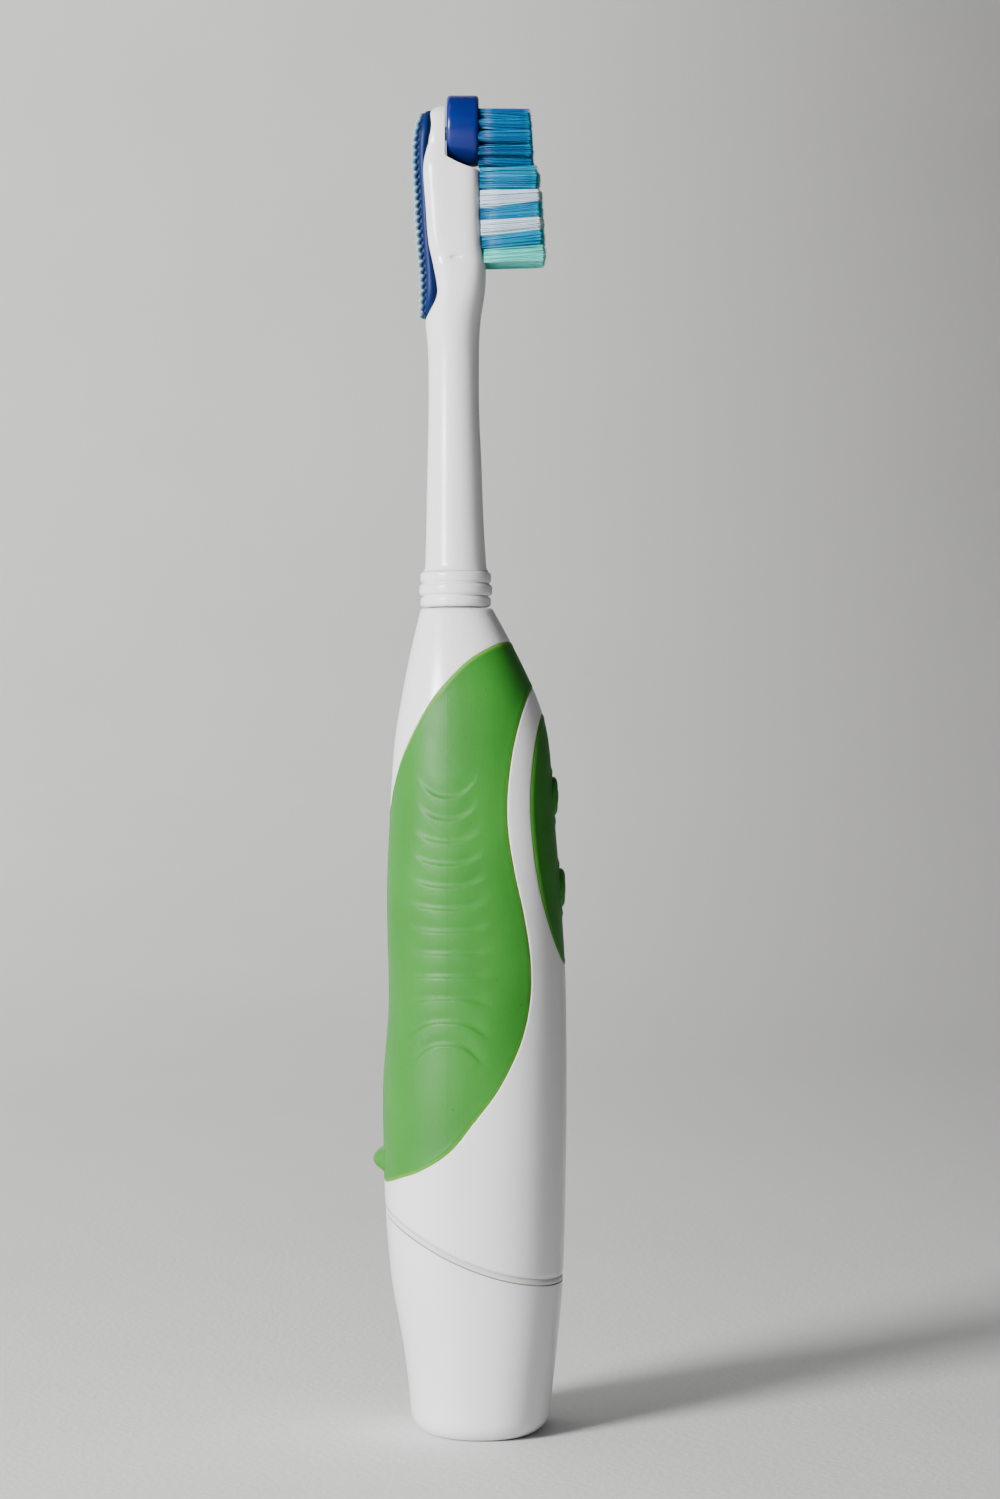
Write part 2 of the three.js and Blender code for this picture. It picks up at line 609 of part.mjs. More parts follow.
function magnet(side) {
  const inner = ARMATURE_RADIUS + GAP;
  const ring = post(inner + MAGNET_THICKNESS, 0, MOTOR_Y, ARMATURE_LOW, ARMATURE_HIGH, 36)
    .subtract(post(inner, 0, MOTOR_Y, ARMATURE_LOW - 1, ARMATURE_HIGH + 1, 36));
  const near = side > 0 ? 2.5 : -FAR;
  const far = side > 0 ? FAR : -2.5;
  return ring.intersect(box([near, -FAR, 0], [far, FAR, HANDLE_LENGTH]));
}

// Pinion outline: straight-sided teeth on a round root, one tooth space facing +Y.
function pinionGear() {
  const shape = new THREE.Shape();
  const root = PINION_RADIUS - 0.55;
  const corners = [[-0.3, root, 0.28], [-0.08, PINION_TIP, 1], [0.08, PINION_TIP, 1], [0.3, root, 0.28]];
  for (let tooth = 0; tooth < PINION_TEETH; tooth += 1) {
    for (const [share, radius] of corners) {
      const angle = Math.PI / 2 + ((tooth + 0.5 + share) * 2 * Math.PI) / PINION_TEETH;
      const [x, y] = [radius * Math.cos(angle), radius * Math.sin(angle)];
      if (tooth === 0 && share === corners[0][0]) shape.moveTo(x, y);
      else shape.lineTo(x, y);
    }
  }
  const geometry = new THREE.ExtrudeGeometry(shape, { depth: PINION_HEIGHT, bevelEnabled: false });
  const top = PINION_BASE + PINION_HEIGHT;
  const bore = post(MOTOR_SHAFT_RADIUS + GAP / 2, 0, MOTOR_Y, PINION_BASE - 1, top + 1);
  return toSolid(geometry.translate(0, MOTOR_Y, PINION_BASE)).subtract(bore);
}

// Crown gear facing -Y with one tooth pointing down into the pinion's tooth space, and the crank pin.
function crankGear() {
  let gear = pin(CROWN_OUTER, 0, CROWN_Z, CROWN_PLATE_FRONT, CROWN_PLATE_BACK, 48);
  for (let tooth = 0; tooth < CROWN_TEETH; tooth += 1) {
    const geometry = new THREE.BoxGeometry(0.5, CROWN_PLATE_FRONT - CROWN_TOOTH_TIP + 0.4, CROWN_FACE_WIDTH);
    geometry.translate(0, (CROWN_PLATE_FRONT + CROWN_TOOTH_TIP + 0.4) / 2, -CROWN_RADIUS);
    geometry.rotateY((tooth * 2 * Math.PI) / CROWN_TEETH).translate(0, 0, CROWN_Z);
    gear = gear.add(toSolid(geometry));
  }
  const bore = pin(AXLE_RADIUS + RUNNING_CLEARANCE, 0, CROWN_Z, CROWN_TOOTH_TIP - 1, CROWN_PLATE_BACK - 0.5);
  const crankEnd = CROWN_PLATE_BACK + CRANK_PIN_LENGTH;
  const crank = pin(CRANK_PIN_RADIUS, STROKE, CROWN_Z, CROWN_PLATE_BACK - 0.4, crankEnd, 16);
  return gear.subtract(bore).add(crank);
}

// Moulded frame on top of the motor: axle boss, board posts and the bridge that holds the lower bushing.
function chassisFrame() {
  const halfBase = MOTOR_WIDTH / 2 - 0.6;
  const halfDepth = MOTOR_DEPTH / 2 - 0.4;
  const base = box(
    [-halfBase, MOTOR_Y - halfDepth, CHASSIS_BASE],
    [halfBase, MOTOR_Y + halfDepth, CHASSIS_BASE + CHASSIS_PLATE],
  );
  const bridgeTop = BRIDGE_Z + BRIDGE_HEIGHT;
  const plate = box([-5, PLATE_FRONT, CHASSIS_BASE], [5, PLATE_BACK, bridgeTop]);
  const bridge = box([-4, PLATE_FRONT, BRIDGE_Z], [4, NECK_Y + BUSHING_RADIUS + 1.2, bridgeTop]);
  const boss = pin(2.4, 0, CROWN_Z, PLATE_FRONT, CROWN_TOOTH_TIP - 0.5);
  const inside = handleBody(WALL_DEPTH + GAP, CHASSIS_BASE - 1, HANDLE_LENGTH, 12);
  return base.add(plate).add(bridge).intersect(inside).add(boss)
    .subtract(post(MOTOR_BOSS_RADIUS + GAP, 0, MOTOR_Y, CHASSIS_BASE - 1, CHASSIS_BASE + 3))
    .subtract(post(BUSHING_RADIUS + GAP, 0, NECK_Y, BRIDGE_Z - 1, bridgeTop + 1))
    .subtract(pin(AXLE_RADIUS + GAP, 0, CROWN_Z, -FAR, FAR));
}

function bushing(low, length) {
  const body = post(BUSHING_RADIUS, 0, NECK_Y, low, low + length);
  return body.subtract(post(SHAFT_RADIUS + RUNNING_CLEARANCE, 0, NECK_Y, low - 1, low + length + 1));
}

// Slotted plate that the crank pin sweeps, with an arm up to the boss on the drive shaft.
function shaftYoke() {
  const half = STROKE + CRANK_PIN_RADIUS + 1.4;
  const back = YOKE_FRONT + YOKE_THICKNESS;
  const plate = box([-half, YOKE_FRONT, CROWN_Z - 2.6], [half, back, CROWN_Z + 2.6]);
  const arm = box([-1.8, YOKE_FRONT, CROWN_Z + 2], [1.8, back, YOKE_BOSS_BASE + YOKE_BOSS_HEIGHT]);
  const boss = post(BUSHING_RADIUS, 0, NECK_Y, YOKE_BOSS_BASE, YOKE_BOSS_BASE + YOKE_BOSS_HEIGHT);
  const slotHalf = STROKE + CRANK_PIN_RADIUS + GAP;
  const slotRise = CRANK_PIN_RADIUS + RUNNING_CLEARANCE;
  const slot = box([-slotHalf, YOKE_FRONT - 1, CROWN_Z - slotRise], [slotHalf, back + 1, CROWN_Z + slotRise]);
  const seat = post(SHAFT_RADIUS + GAP, 0, NECK_Y, YOKE_BOSS_BASE + 0.6, YOKE_BOSS_BASE + YOKE_BOSS_HEIGHT + 1);
  return plate.add(arm).add(boss).subtract(slot).subtract(seat);
}

// ---------------------------------------------------------------- brush head

// [millimetres above the head's base, front y, back y, half width, squareness]
const HEAD_STATIONS = [
  [COLLAR_HEIGHT + 0.6, NECK_Y - 5.4, NECK_Y + 5.4, 5.4, 2],
  [15.3, -0.5, 9.6, 5, 2],
  [25.3, -0.15, 9.4, 4.75, 2],
  [37, 0.3, 9.2, 4.5, 2],
  [45.5, 0.3, 9.3, 4.7, 2],
  [50.7, 0, 9.8, 5.3, 2.2],
  [56.5, -0.85, 8.7, 6.1, 2.8],
  [59.5, -0.95, 8.95, HEAD_HALF_WIDTH, 3.2],
  [64, -0.2, 9.7, HEAD_HALF_WIDTH, 3.4],
  [70.6, 0.15, 10.1, HEAD_HALF_WIDTH, 3.4],
  [77, 0.6, 10.5, HEAD_HALF_WIDTH, 3.4],
  [79, 0.65, 10.3, 6.1, 3.4],
  [81.2, 0.7, 9.7, 5.3, 3.4],
];

const headCurve = (column) => smoothThrough(HEAD_STATIONS.map((row) => [row[0], row[column]]));
const headCurves = [1, 2, 3, 4].map(headCurve);
const TIP_START = HEAD_STATIONS[HEAD_STATIONS.length - 1][0];

// The carrier's top slants back under the disc, from its front edge to the plate behind the disc.
const SEAT_FRONT = [DISC_FRONT, DISC_Z - 7.5];
const SEAT_SLOPE = 0.41;

// Beside the disc the head is a plate whose outline closes as a half circle.
function headSection(z) {
  const up = z - HEAD_BASE;
  if (up < COLLAR_HEIGHT + 0.3) {
    const groove = [1.75, 4.1].some((g) => Math.abs(up - g) < 0.12) ? 0.25 : 0;
    const edge = Math.max(0, 0.25 - up) + Math.max(0, up - COLLAR_HEIGHT);
    const radius = COLLAR_RADIUS - groove - edge;
    return { front: NECK_Y - radius, back: NECK_Y + radius, half: radius, power: 2 };
  }
  const [front, back, half, power] = headCurves.map((curve) => curve(Math.min(up, TIP_START)));
  const over = Math.max(0, up - TIP_START) / (HEAD_LENGTH - GAP - TIP_START);
  const closing = Math.sqrt(Math.max(0.02, 1 - over ** 2.2));
  return { front, back: back - 0.9 * over, half: half * closing, power };
}

// The wire path of the link rod: straight up the neck, then out sideways and back to the disc.
function linkPath(from) {
  const tip = DISC_BACK + 1.4;
  return [
    [0, NECK_Y, from],
    [0, NECK_Y, HEAD_BASE + 44],
    [LINK_OFFSET * 0.3, NECK_Y + 0.7, HEAD_BASE + 58],
    [LINK_OFFSET * 0.85, tip - 0.6, DISC_Z - 12],
    [LINK_OFFSET, tip, DISC_Z - 5],
    [LINK_OFFSET, tip, DISC_Z],
  ];
}

function headShell() {
  const collar = [0, 0.25, 1.6, 1.7, 1.8, 1.9, 3.95, 4.05, 4.15, 4.25, COLLAR_HEIGHT, COLLAR_HEIGHT + 0.25];
  const neck = heightsBetween(COLLAR_HEIGHT + 0.6, TIP_START, 12);
  const tip = [0.3, 0.55, 0.75, 0.88, 0.96, 1].map((s) => TIP_START + s * (HEAD_LENGTH - GAP - TIP_START));
  const heights = [...collar, ...neck, ...tip].map((up) => HEAD_BASE + up);
  const wide = NOSE_RADIUS + ORING_WIRE + SOCKET_CLEARANCE;
  const narrow = NOSE_RADIUS + SOCKET_CLEARANCE;
  const linkBore = LINK_SOCKET_RADIUS + 0.5;
  const grooveHalf = LINK_ROD_RADIUS + 0.6;
  const plateFront = DISC_BACK + GAP;
  const seatAt = (y) => [y, SEAT_FRONT[1] + SEAT_SLOPE * (y - SEAT_FRONT[0])];
  const aboveSeat = [seatAt(-FAR), seatAt(plateFront), [plateFront, HEAD_TOP + 5], [-FAR, HEAD_TOP + 5]];
  return toSolid(loft(heights, headSection, 28))
    .subtract(post(wide, 0, NECK_Y, HEAD_BASE - 1, HEAD_BASE + COLLAR_HEIGHT, 24))
    .subtract(post(narrow, 0, NECK_Y, HEAD_BASE - 1, NOSE_TOP + 1, 24))
    .subtract(post(linkBore, 0, NECK_Y, NOSE_TOP, SOCKET_TOP + STROKE + 6.5, 24))
    .subtract(toSolid(wire(linkPath(SOCKET_TOP), grooveHalf, 8, 18)))
    .subtract(box(
      [LINK_OFFSET - grooveHalf, DISC_BACK, DISC_Z - 7],
      [LINK_OFFSET + grooveHalf, DISC_BACK + 2.4, DISC_Z + STROKE + 1.2],
    ))
    .subtract(pin(DISC_RADIUS + GAP, 0, DISC_Z, -FAR, DISC_BACK + GAP, 36))
    .subtract(sidePrism(aboveSeat, -FAR, FAR))
    .subtract(pin(DISC_PIN_RADIUS + GAP, 0, DISC_Z, DISC_BACK, DISC_BACK + 2.2, 16));
}

function linkSocket() {
  const body = post(LINK_SOCKET_RADIUS, 0, NECK_Y, SOCKET_BASE, SOCKET_TOP);
  const mouth = post(SHAFT_RADIUS + RUNNING_CLEARANCE, 0, NECK_Y, SOCKET_BASE - 1, SHAFT_TOP + GAP);
  const seat = post(LINK_ROD_RADIUS + GAP, 0, NECK_Y, SOCKET_TOP - 2.5, SOCKET_TOP + 1);
  return body.subtract(mouth).subtract(seat);
}

// The bent rod, with the short pin at its tip that turns the disc.
function linkRod() {
  const rod = toSolid(wire(linkPath(SOCKET_TOP - 2.2), LINK_ROD_RADIUS, 8, 20));
  return rod.add(pin(0.5, LINK_OFFSET, DISC_Z - 0.5, DISC_BACK - 1.8, DISC_BACK + 1.4, 12));
}

function rodGuide() {
  const low = SOCKET_TOP + STROKE + 2;
  const ring = post(LINK_SOCKET_RADIUS + 0.2, 0, NECK_Y, low, low + 4);
  return ring.subtract(post(LINK_ROD_RADIUS + RUNNING_CLEARANCE, 0, NECK_Y, low - 1, low + 5));
}

function headDisc() {
  const slotHalf = 0.5 + RUNNING_CLEARANCE;
  return pin(DISC_RADIUS, 0, DISC_Z, DISC_FRONT, DISC_BACK, 40)
    .subtract(pin(DISC_PIN_RADIUS + RUNNING_CLEARANCE, 0, DISC_Z, DISC_FRONT + 0.8, DISC_BACK + 1, 20))
    .subtract(box(
      [LINK_OFFSET - 1.1, DISC_BACK - 2.2, DISC_Z - 0.5 - slotHalf],
      [LINK_OFFSET + 1.1, DISC_BACK + 1, DISC_Z - 0.5 + slotHalf],
    ));
}

// Four rows of tufts on the turning disc, [height from the disc's centre, row thickness].
const DISC_ROWS = [[3, 3.6], [-0.4, 1.9], [-2.9, 1.9], [-5.2, 1.5]];

function discBristles() {
  const root = DISC_FRONT - GAP;
  let field = pin(DISC_RADIUS - 0.3, 0, DISC_Z, root - 0.4, root, 32);
  for (const [up, thick] of DISC_ROWS) {
    const reach = Math.max(Math.abs(up - thick / 2), Math.abs(up + thick / 2));
    const half = Math.sqrt((DISC_RADIUS - 0.25) ** 2 - reach ** 2);
    field = field.add(box(
      [-half, DISC_FRONT - DISC_BRISTLE_LENGTH, DISC_Z + up - thick / 2],
      [half, root - 0.1, DISC_Z + up + thick / 2],
    ));
  }
  return field;
}

// Fixed rows: [name, root height below the disc, tip height below the disc, tip y, thickness, colour].
const FIXED_ROWS = [
  ['teal_tufts_upper', 9, 8, -9.6, 1.7, 0x2c90b8],
  ['white_tufts_upper', 11.5, 11.1, -10.3, 1.6, 0xdce4ea],
  ['teal_tufts_middle', 14.4, 13.7, -10.6, 2.1, 0x2c90b8],
  ['white_tufts_lower', 16.7, 16.2, -10.7, 1.7, 0xdce4ea],
  ['teal_tufts_lower', 19.4, 18.7, -11, 2.1, 0x2c90b8],
  ['mint_tufts', 21.9, 21.5, -11.6, 2, 0x7fcdb6],
];

function tuftRow(rootDown, tipDown, tip, thick) {
  const rootZ = DISC_Z - rootDown;
  const tipZ = DISC_Z - tipDown;
  const root = headSection(rootZ).front - GAP - 0.1;
  return sidePrism([
    [root, rootZ - thick / 2],
    [root, rootZ + thick / 2],
    [tip, tipZ + thick / 2],
    [tip, tipZ - thick / 2],
  ].reverse(), -TUFT_HALF_WIDTH, TUFT_HALF_WIDTH);
}

// Soft pad on the back of the head: [millimetres above the head's base, outer y].
const PAD_PROFILE = [
  [50.9, 10.3], [58, 10.4], [65, 10.9], [72, 11.4], [79, 11.9], [83.5, 11.5], [86, 10.9], [87.6, 10.2],
];

function tongueCleaner() {
  const outer = curveThrough(PAD_PROFILE.map(([up, y]) => [y, HEAD_BASE + up]), 14);
  const inner = outer.map(([, z]) => [headSection(z).back + GAP, z]).reverse();
  const low = outer[0][1];
  const high = outer[outer.length - 1][1];
  const face = new THREE.Shape();
  face.absarc(0, high - PAD_HALF_WIDTH, PAD_HALF_WIDTH, 0, Math.PI);
  face.absarc(0, low + PAD_HALF_WIDTH, PAD_HALF_WIDTH, Math.PI, 2 * Math.PI);
  const stadium = new THREE.ExtrudeGeometry(face, { depth: FAR, bevelEnabled: false, curveSegments: 14 });
  stadium.rotateX(Math.PI / 2).translate(0, FAR, 0);
  const pad = sidePrism([...outer, ...inner].reverse(), -PAD_HALF_WIDTH, PAD_HALF_WIDTH);
  return pad.intersect(toSolid(stadium));
}

// ---------------------------------------------------------------- assembly

add('battery_cap', baseCap(), WHITE, 0.35);
add('cap_gasket', capGasket(), 0xc4c6cc, 0.6);
add('contact_bridge', contactBridge(), STEEL, 0.3, 1);
const capSpringBase = BRIDGE_BASE + CONTACT_THICKNESS + GAP;
add('cap_spring', contactSpring(-CELL_X, capSpringBase, CELL_BASE - GAP), STEEL, 0.3, 1);
add('cell_left', cell(-CELL_X, true), 0x2b2b30, 0.4, 0.3);
add('cell_right', cell(CELL_X, false), 0x2b2b30, 0.4, 0.3);
add('handle_housing', handleHousing(), WHITE, 0.35);
add('grip_overmould', gripOvermould(), GREEN, 0.6);
add('button_panel', buttonPanel(), GREEN, 0.6);
for (const [name, z] of Object.entries(BUTTON_HEIGHTS)) {
  add(name, button(z), GREEN, 0.6);
}
add('contact_carrier', contactCarrier(), BLACK, 0.5);
add('carrier_contact', carrierContact(), STEEL, 0.3, 1);
add('carrier_spring', contactSpring(CELL_X, CELL_TOP + GAP, CARRIER_BASE - GAP), STEEL, 0.3, 1);
add('lead_wire_plus', leadWire(-1), 0xb03028, 0.5);
add('lead_wire_minus', leadWire(1), BLACK, 0.5);
add('motor_can', motorCan(), STEEL, 0.35, 1);
add('motor_end_cap', motorEndCap(), 0xe6e2d4, 0.5);
add('motor_magnet_left', magnet(-1), 0x3a3a3e, 0.7);
add('motor_magnet_right', magnet(1), 0x3a3a3e, 0.7);
add('motor_armature', armature(), 0x8d5a34, 0.5, 0.6);
const motorShaftTop = PINION_BASE + PINION_HEIGHT + GAP;
add('motor_shaft', post(MOTOR_SHAFT_RADIUS, 0, MOTOR_Y, MOTOR_BASE + 0.4, motorShaftTop), STEEL, 0.2, 1);
add('motor_pinion', pinionGear(), BRASS, 0.35, 1);
add('crank_gear', crankGear(), 0xeceae2, 0.5);
add('gear_axle', pin(AXLE_RADIUS, 0, CROWN_Z, PLATE_FRONT + 0.1, CROWN_PLATE_BACK - 0.7), STEEL, 0.25, 1);
add('chassis_frame', chassisFrame(), 0x4a4d54, 0.6);
add('lower_bushing', bushing(BRIDGE_Z + GAP / 2, BUSHING_LENGTH), BRASS, 0.4, 1);
add('upper_bushing', bushing(HANDLE_LENGTH - NOSE_ROOT + GAP, BUSHING_LENGTH), BRASS, 0.4, 1);
add('shaft_seal', bushing(NOSE_TOP - BUSHING_LENGTH, BUSHING_LENGTH - GAP), BLACK, 0.8);
const oring = new THREE.TorusGeometry(NOSE_RADIUS, ORING_WIRE, 6, 20);
add('nose_oring', oring.translate(0, NECK_Y, ORING_Z), BLACK, 0.8);
add('shaft_yoke', shaftYoke(), 0xeceae2, 0.5);
add('drive_shaft', post(SHAFT_RADIUS, 0, NECK_Y, YOKE_BOSS_BASE + 0.9, SHAFT_TOP), STEEL, 0.2, 1);
const boardLow = CHASSIS_BASE + CHASSIS_PLATE + GAP;
const boardHigh = BUTTON_HEIGHTS.on_button + 7;
add('switch_board', box(
  [-BOARD_HALF_WIDTH, BOARD_FRONT, boardLow],
  [BOARD_HALF_WIDTH, BOARD_FRONT + BOARD_THICKNESS, boardHigh],
), 0x1f5a36, 0.5);
for (const [name, z] of Object.entries(BUTTON_HEIGHTS)) {
  const half = TACT_WIDTH / 2;
  const body = box([-half, BOARD_FRONT - TACT_HEIGHT, z - half], [half, BOARD_FRONT - 0.1, z + half]);
  add(name.replace('button', 'switch'), body, BLACK, 0.4);
}
add('head_shell', headShell(), WHITE, 0.3);
add('rod_guide', rodGuide(), 0xeceae2, 0.5);
add('tongue_cleaner', tongueCleaner(), 0x1d3f7d, 0.6);
add('disc_pin', pin(DISC_PIN_RADIUS, 0, DISC_Z, DISC_FRONT + 1.1, DISC_BACK + 1.9, 16), STEEL, 0.2, 1);
add('head_disc', headDisc(), BLUE, 0.3);
add('disc_bristles', discBristles(), 0x2c78c0, 0.7);
for (const [name, rootDown, tipDown, tip, thick, colour] of FIXED_ROWS) {
  add(name, tuftRow(rootDown, tipDown, tip, thick), colour, 0.7);
}
add('link_socket', linkSocket(), 0xeceae2, 0.5);
add('link_rod', linkRod(), STEEL, 0.25, 1);

export default brush;
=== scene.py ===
import math
from types import SimpleNamespace

import bmesh
import bpy
import numpy as np
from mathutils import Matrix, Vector


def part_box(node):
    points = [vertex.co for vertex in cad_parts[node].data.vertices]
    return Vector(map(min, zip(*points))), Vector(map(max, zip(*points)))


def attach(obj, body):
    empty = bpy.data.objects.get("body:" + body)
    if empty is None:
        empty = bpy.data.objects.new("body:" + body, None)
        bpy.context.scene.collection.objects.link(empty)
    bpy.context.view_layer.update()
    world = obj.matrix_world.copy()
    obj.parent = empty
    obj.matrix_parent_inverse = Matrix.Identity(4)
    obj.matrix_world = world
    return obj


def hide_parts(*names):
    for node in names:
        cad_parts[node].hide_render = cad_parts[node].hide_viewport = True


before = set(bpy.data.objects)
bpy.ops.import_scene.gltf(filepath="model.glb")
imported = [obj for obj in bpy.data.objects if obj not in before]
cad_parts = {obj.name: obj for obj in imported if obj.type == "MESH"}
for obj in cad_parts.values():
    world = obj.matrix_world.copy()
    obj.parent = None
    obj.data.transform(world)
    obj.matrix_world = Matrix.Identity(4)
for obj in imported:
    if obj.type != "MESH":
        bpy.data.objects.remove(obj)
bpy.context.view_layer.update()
MM = 0.001


# ---- handle form
# The brush's body is one smooth moulding: a squarish oval tube that swells round two cells
# and tapers into round shoulders. Every outside piece of the handle lies on this form.

HANDLE_LENGTH = 144.4
BASE_CORNER = 3.5
SQUARENESS = 2.3
FORM_SPREAD = 2.6           # how far the handle's curves are averaged, so that they flow

# share of the handle's length, then front y, back y and half width in millimetres
HANDLE_STATIONS = np.array([
    [0, -12.1, 12.1, 16.1],
    [0.033, -12.4, 12.4, 16.35],
    [0.094, -13.4, 13.4, 16.6],
    [0.192, -14.6, 15.9, 16.85],
    [0.302, -15, 17, 17.05],
    [0.412, -15.2, 17.3, 17.05],
    [0.523, -15.1, 16.2, 16.05],
    [0.645, -14.2, 16.6, 14.9],
    [0.767, -12.8, 15.9, 13.65],
    [0.841, -12.05, 15.2, 12.4],
    [0.888, -10.25, 14.05, 11.1],
    [0.925, -7.8, 13.1, 9.9],
    [0.963, -5.1, 11.9, 8.3],
    [1, -2.1, 10.6, 6.5],
])


def smooth_curve(places, values, spread):
    """Values at fine steps: cubic pieces through the points whose slope at a point is the
    harmonic mean of its neighbours' slopes, then a running bell-shaped average of that spread."""
    slopes = np.diff(values) / np.diff(places)
    before = np.concatenate([slopes[:1], slopes])
    after = np.concatenate([slopes, slopes[-1:]])
    product = before * after
    tangents = np.where(product > 0, 2 * product / np.where(before + after == 0, 1, before + after), 0)
    fine = np.linspace(places[0], places[-1], 900)
    i = np.clip(np.searchsorted(places, fine, side="right") - 1, 0, len(places) - 2)
    width = places[i + 1] - places[i]
    u = (fine - places[i]) / width
    curve = (
        values[i] * (1 + 2 * u) * (1 - u) ** 2
        + tangents[i] * width * u * (1 - u) ** 2
        + values[i + 1] * u * u * (3 - 2 * u)
        + tangents[i + 1] * width * u * u * (u - 1)
    )
    step = fine[1] - fine[0]
    reach = max(1, int(3 * spread / step))
    bell = np.exp(-0.5 * (np.arange(-reach, reach + 1) * step / spread) ** 2)
    # each end is continued as its own mirror through the end point, so that it stays in place
    ahead = 2 * curve[0] - curve[reach:0:-1]
    behind = 2 * curve[-1] - curve[-2:-reach - 2:-1]
    curve = np.convolve(np.concatenate([ahead, curve, behind]), bell / bell.sum(), mode="valid")
    return lambda t: np.interp(t, fine, curve)


station_heights = HANDLE_STATIONS[:, 0] * HANDLE_LENGTH
front_at, back_at, half_at = (
    smooth_curve(station_heights, HANDLE_STATIONS[:, column], FORM_SPREAD) for column in (1, 2, 3)
)


def oval(angle, power):
    """Point of a superellipse of half sizes 1: cosine and sine, each to the power 2/power, signs kept."""
    c, s = np.cos(angle), np.sin(angle)
    return np.sign(c) * np.abs(c) ** (2 / power), np.sign(s) * np.abs(s) ** (2 / power)


def even_angles(count, wide, deep, power):
    """Angles that cut the oval of those half sizes into pieces of equal length."""
    fine = np.linspace(0, 2 * np.pi, 7201)
    x, y = oval(fine, power)
    length = np.concatenate([[0], np.cumsum(np.hypot(np.diff(x * wide), np.diff(y * deep)))])
    return np.interp(np.linspace(0, length[-1], count, endpoint=False), length, fine)


def handle_place(angle, z):
    """Point on the handle's form: an oval between the front and back curves at height z,
    drawn in by the round bottom corner."""
    up = np.clip(BASE_CORNER - z, 0, BASE_CORNER)
    inset = BASE_CORNER - np.sqrt(BASE_CORNER**2 - up**2)
    front, back, half = front_at(z) + inset, back_at(z) - inset, half_at(z) - inset
    across, along = oval(angle, SQUARENESS)
    return np.stack([half * across, (front + back) / 2 + (back - front) / 2 * along, z + 0 * angle], -1)


def form_normal(place, angle, z):
    """Outward direction of a form: the cross product of its small steps round and up."""
    a, h = 1e-3, 0.02
    round_step = place(angle + a, z) - place(angle - a, z)
    up_step = place(angle, z + h) - place(angle, z - h)
    n = np.cross(round_step, up_step)
    return n / np.maximum(np.linalg.norm(n, axis=-1, keepdims=True), 1e-12)


def grid_triangles(rows, columns):
    """Triangles of a grid that closes on itself round its columns, facing outwards."""
    r, c = np.meshgrid(np.arange(rows - 1), np.arange(columns), indexing="ij")
    a = (r * columns + c).ravel()
    b = (r * columns + (c + 1) % columns).ravel()
    return np.concatenate([np.stack([a, b, b + columns], 1), np.stack([a, b + columns, a + columns], 1)])


class Skin:
    """A triangle mesh on a form: columns (angle, height) of each corner, and named fields at each corner."""

    def __init__(self, angle, z, triangles, fields):
        self.values = np.stack([angle, z] + list(fields.values()), 1)
        self.names = ["angle", "z"] + list(fields)
        self.triangles = triangles

    def field(self, name):
        return self.values[:, self.names.index(name)]

    def add_field(self, name, values):
        self.names.append(name)
        self.values = np.column_stack([self.values, values])

    def split(self, name, level, keep=None, within=None):
        """Cuts every edge that the line field = level crosses, at its straight-line crossing point, and its
        triangles with it. within, one truth per corner, allows only edges with both ends in it.
        keep "above" drops the triangles under the line."""
        f = self.field(name) - level
        f = np.where(np.abs(f) < 1e-5, 0, f)
        tri = self.triangles
        ends = np.stack([tri, np.roll(tri, -1, axis=1)], -1)
        cut = f[ends[..., 0]] * f[ends[..., 1]] < 0
        if within is not None:
            cut &= within[ends].all(-1)
        edges, number = np.unique(np.sort(ends[cut], 1), axis=0, return_inverse=True)
        low, high = edges.T
        a, b = self.values[low], self.values[high].copy()
        b[:, 0] -= 2 * np.pi * np.round((b[:, 0] - a[:, 0]) / (2 * np.pi))
        fresh = a + (b - a) * (f[low] / (f[low] - f[high]))[:, None]
        fresh[:, self.names.index(name)] = level
        crossing = np.zeros(tri.shape, int)
        crossing[cut] = len(self.values) + number.ravel()
        self.values = np.concatenate([self.values, fresh])

        def turned(rows, first):
            """Corners and crossing points of some triangles, turned so that edge number first leads."""
            order = (first[:, None] + np.arange(3)) % 3
            return [np.take_along_axis(part[rows], order, 1).T for part in (tri, crossing)]

        once, twice = cut.sum(1) == 1, cut.sum(1) == 2
        (p, q, r), (m, _, _) = turned(once, np.argmax(cut[once], 1))
        (s, t, u), (n, _, o) = turned(twice, (np.argmin(cut[twice], 1) + 2) % 3)
        tri = np.concatenate([tri[~(once | twice)]] + [np.stack(corners, 1) for corners in (
            (p, m, r), (m, q, r), (s, n, o), (n, t, u), (n, u, o))])
        if keep == "above":
            tri = tri[np.concatenate([f, np.zeros(len(fresh))])[tri].sum(1) > 0]
        used, renumbered = np.unique(tri, return_inverse=True)
        self.values = self.values[used]
        self.triangles = renumbered.reshape(-1, 3)


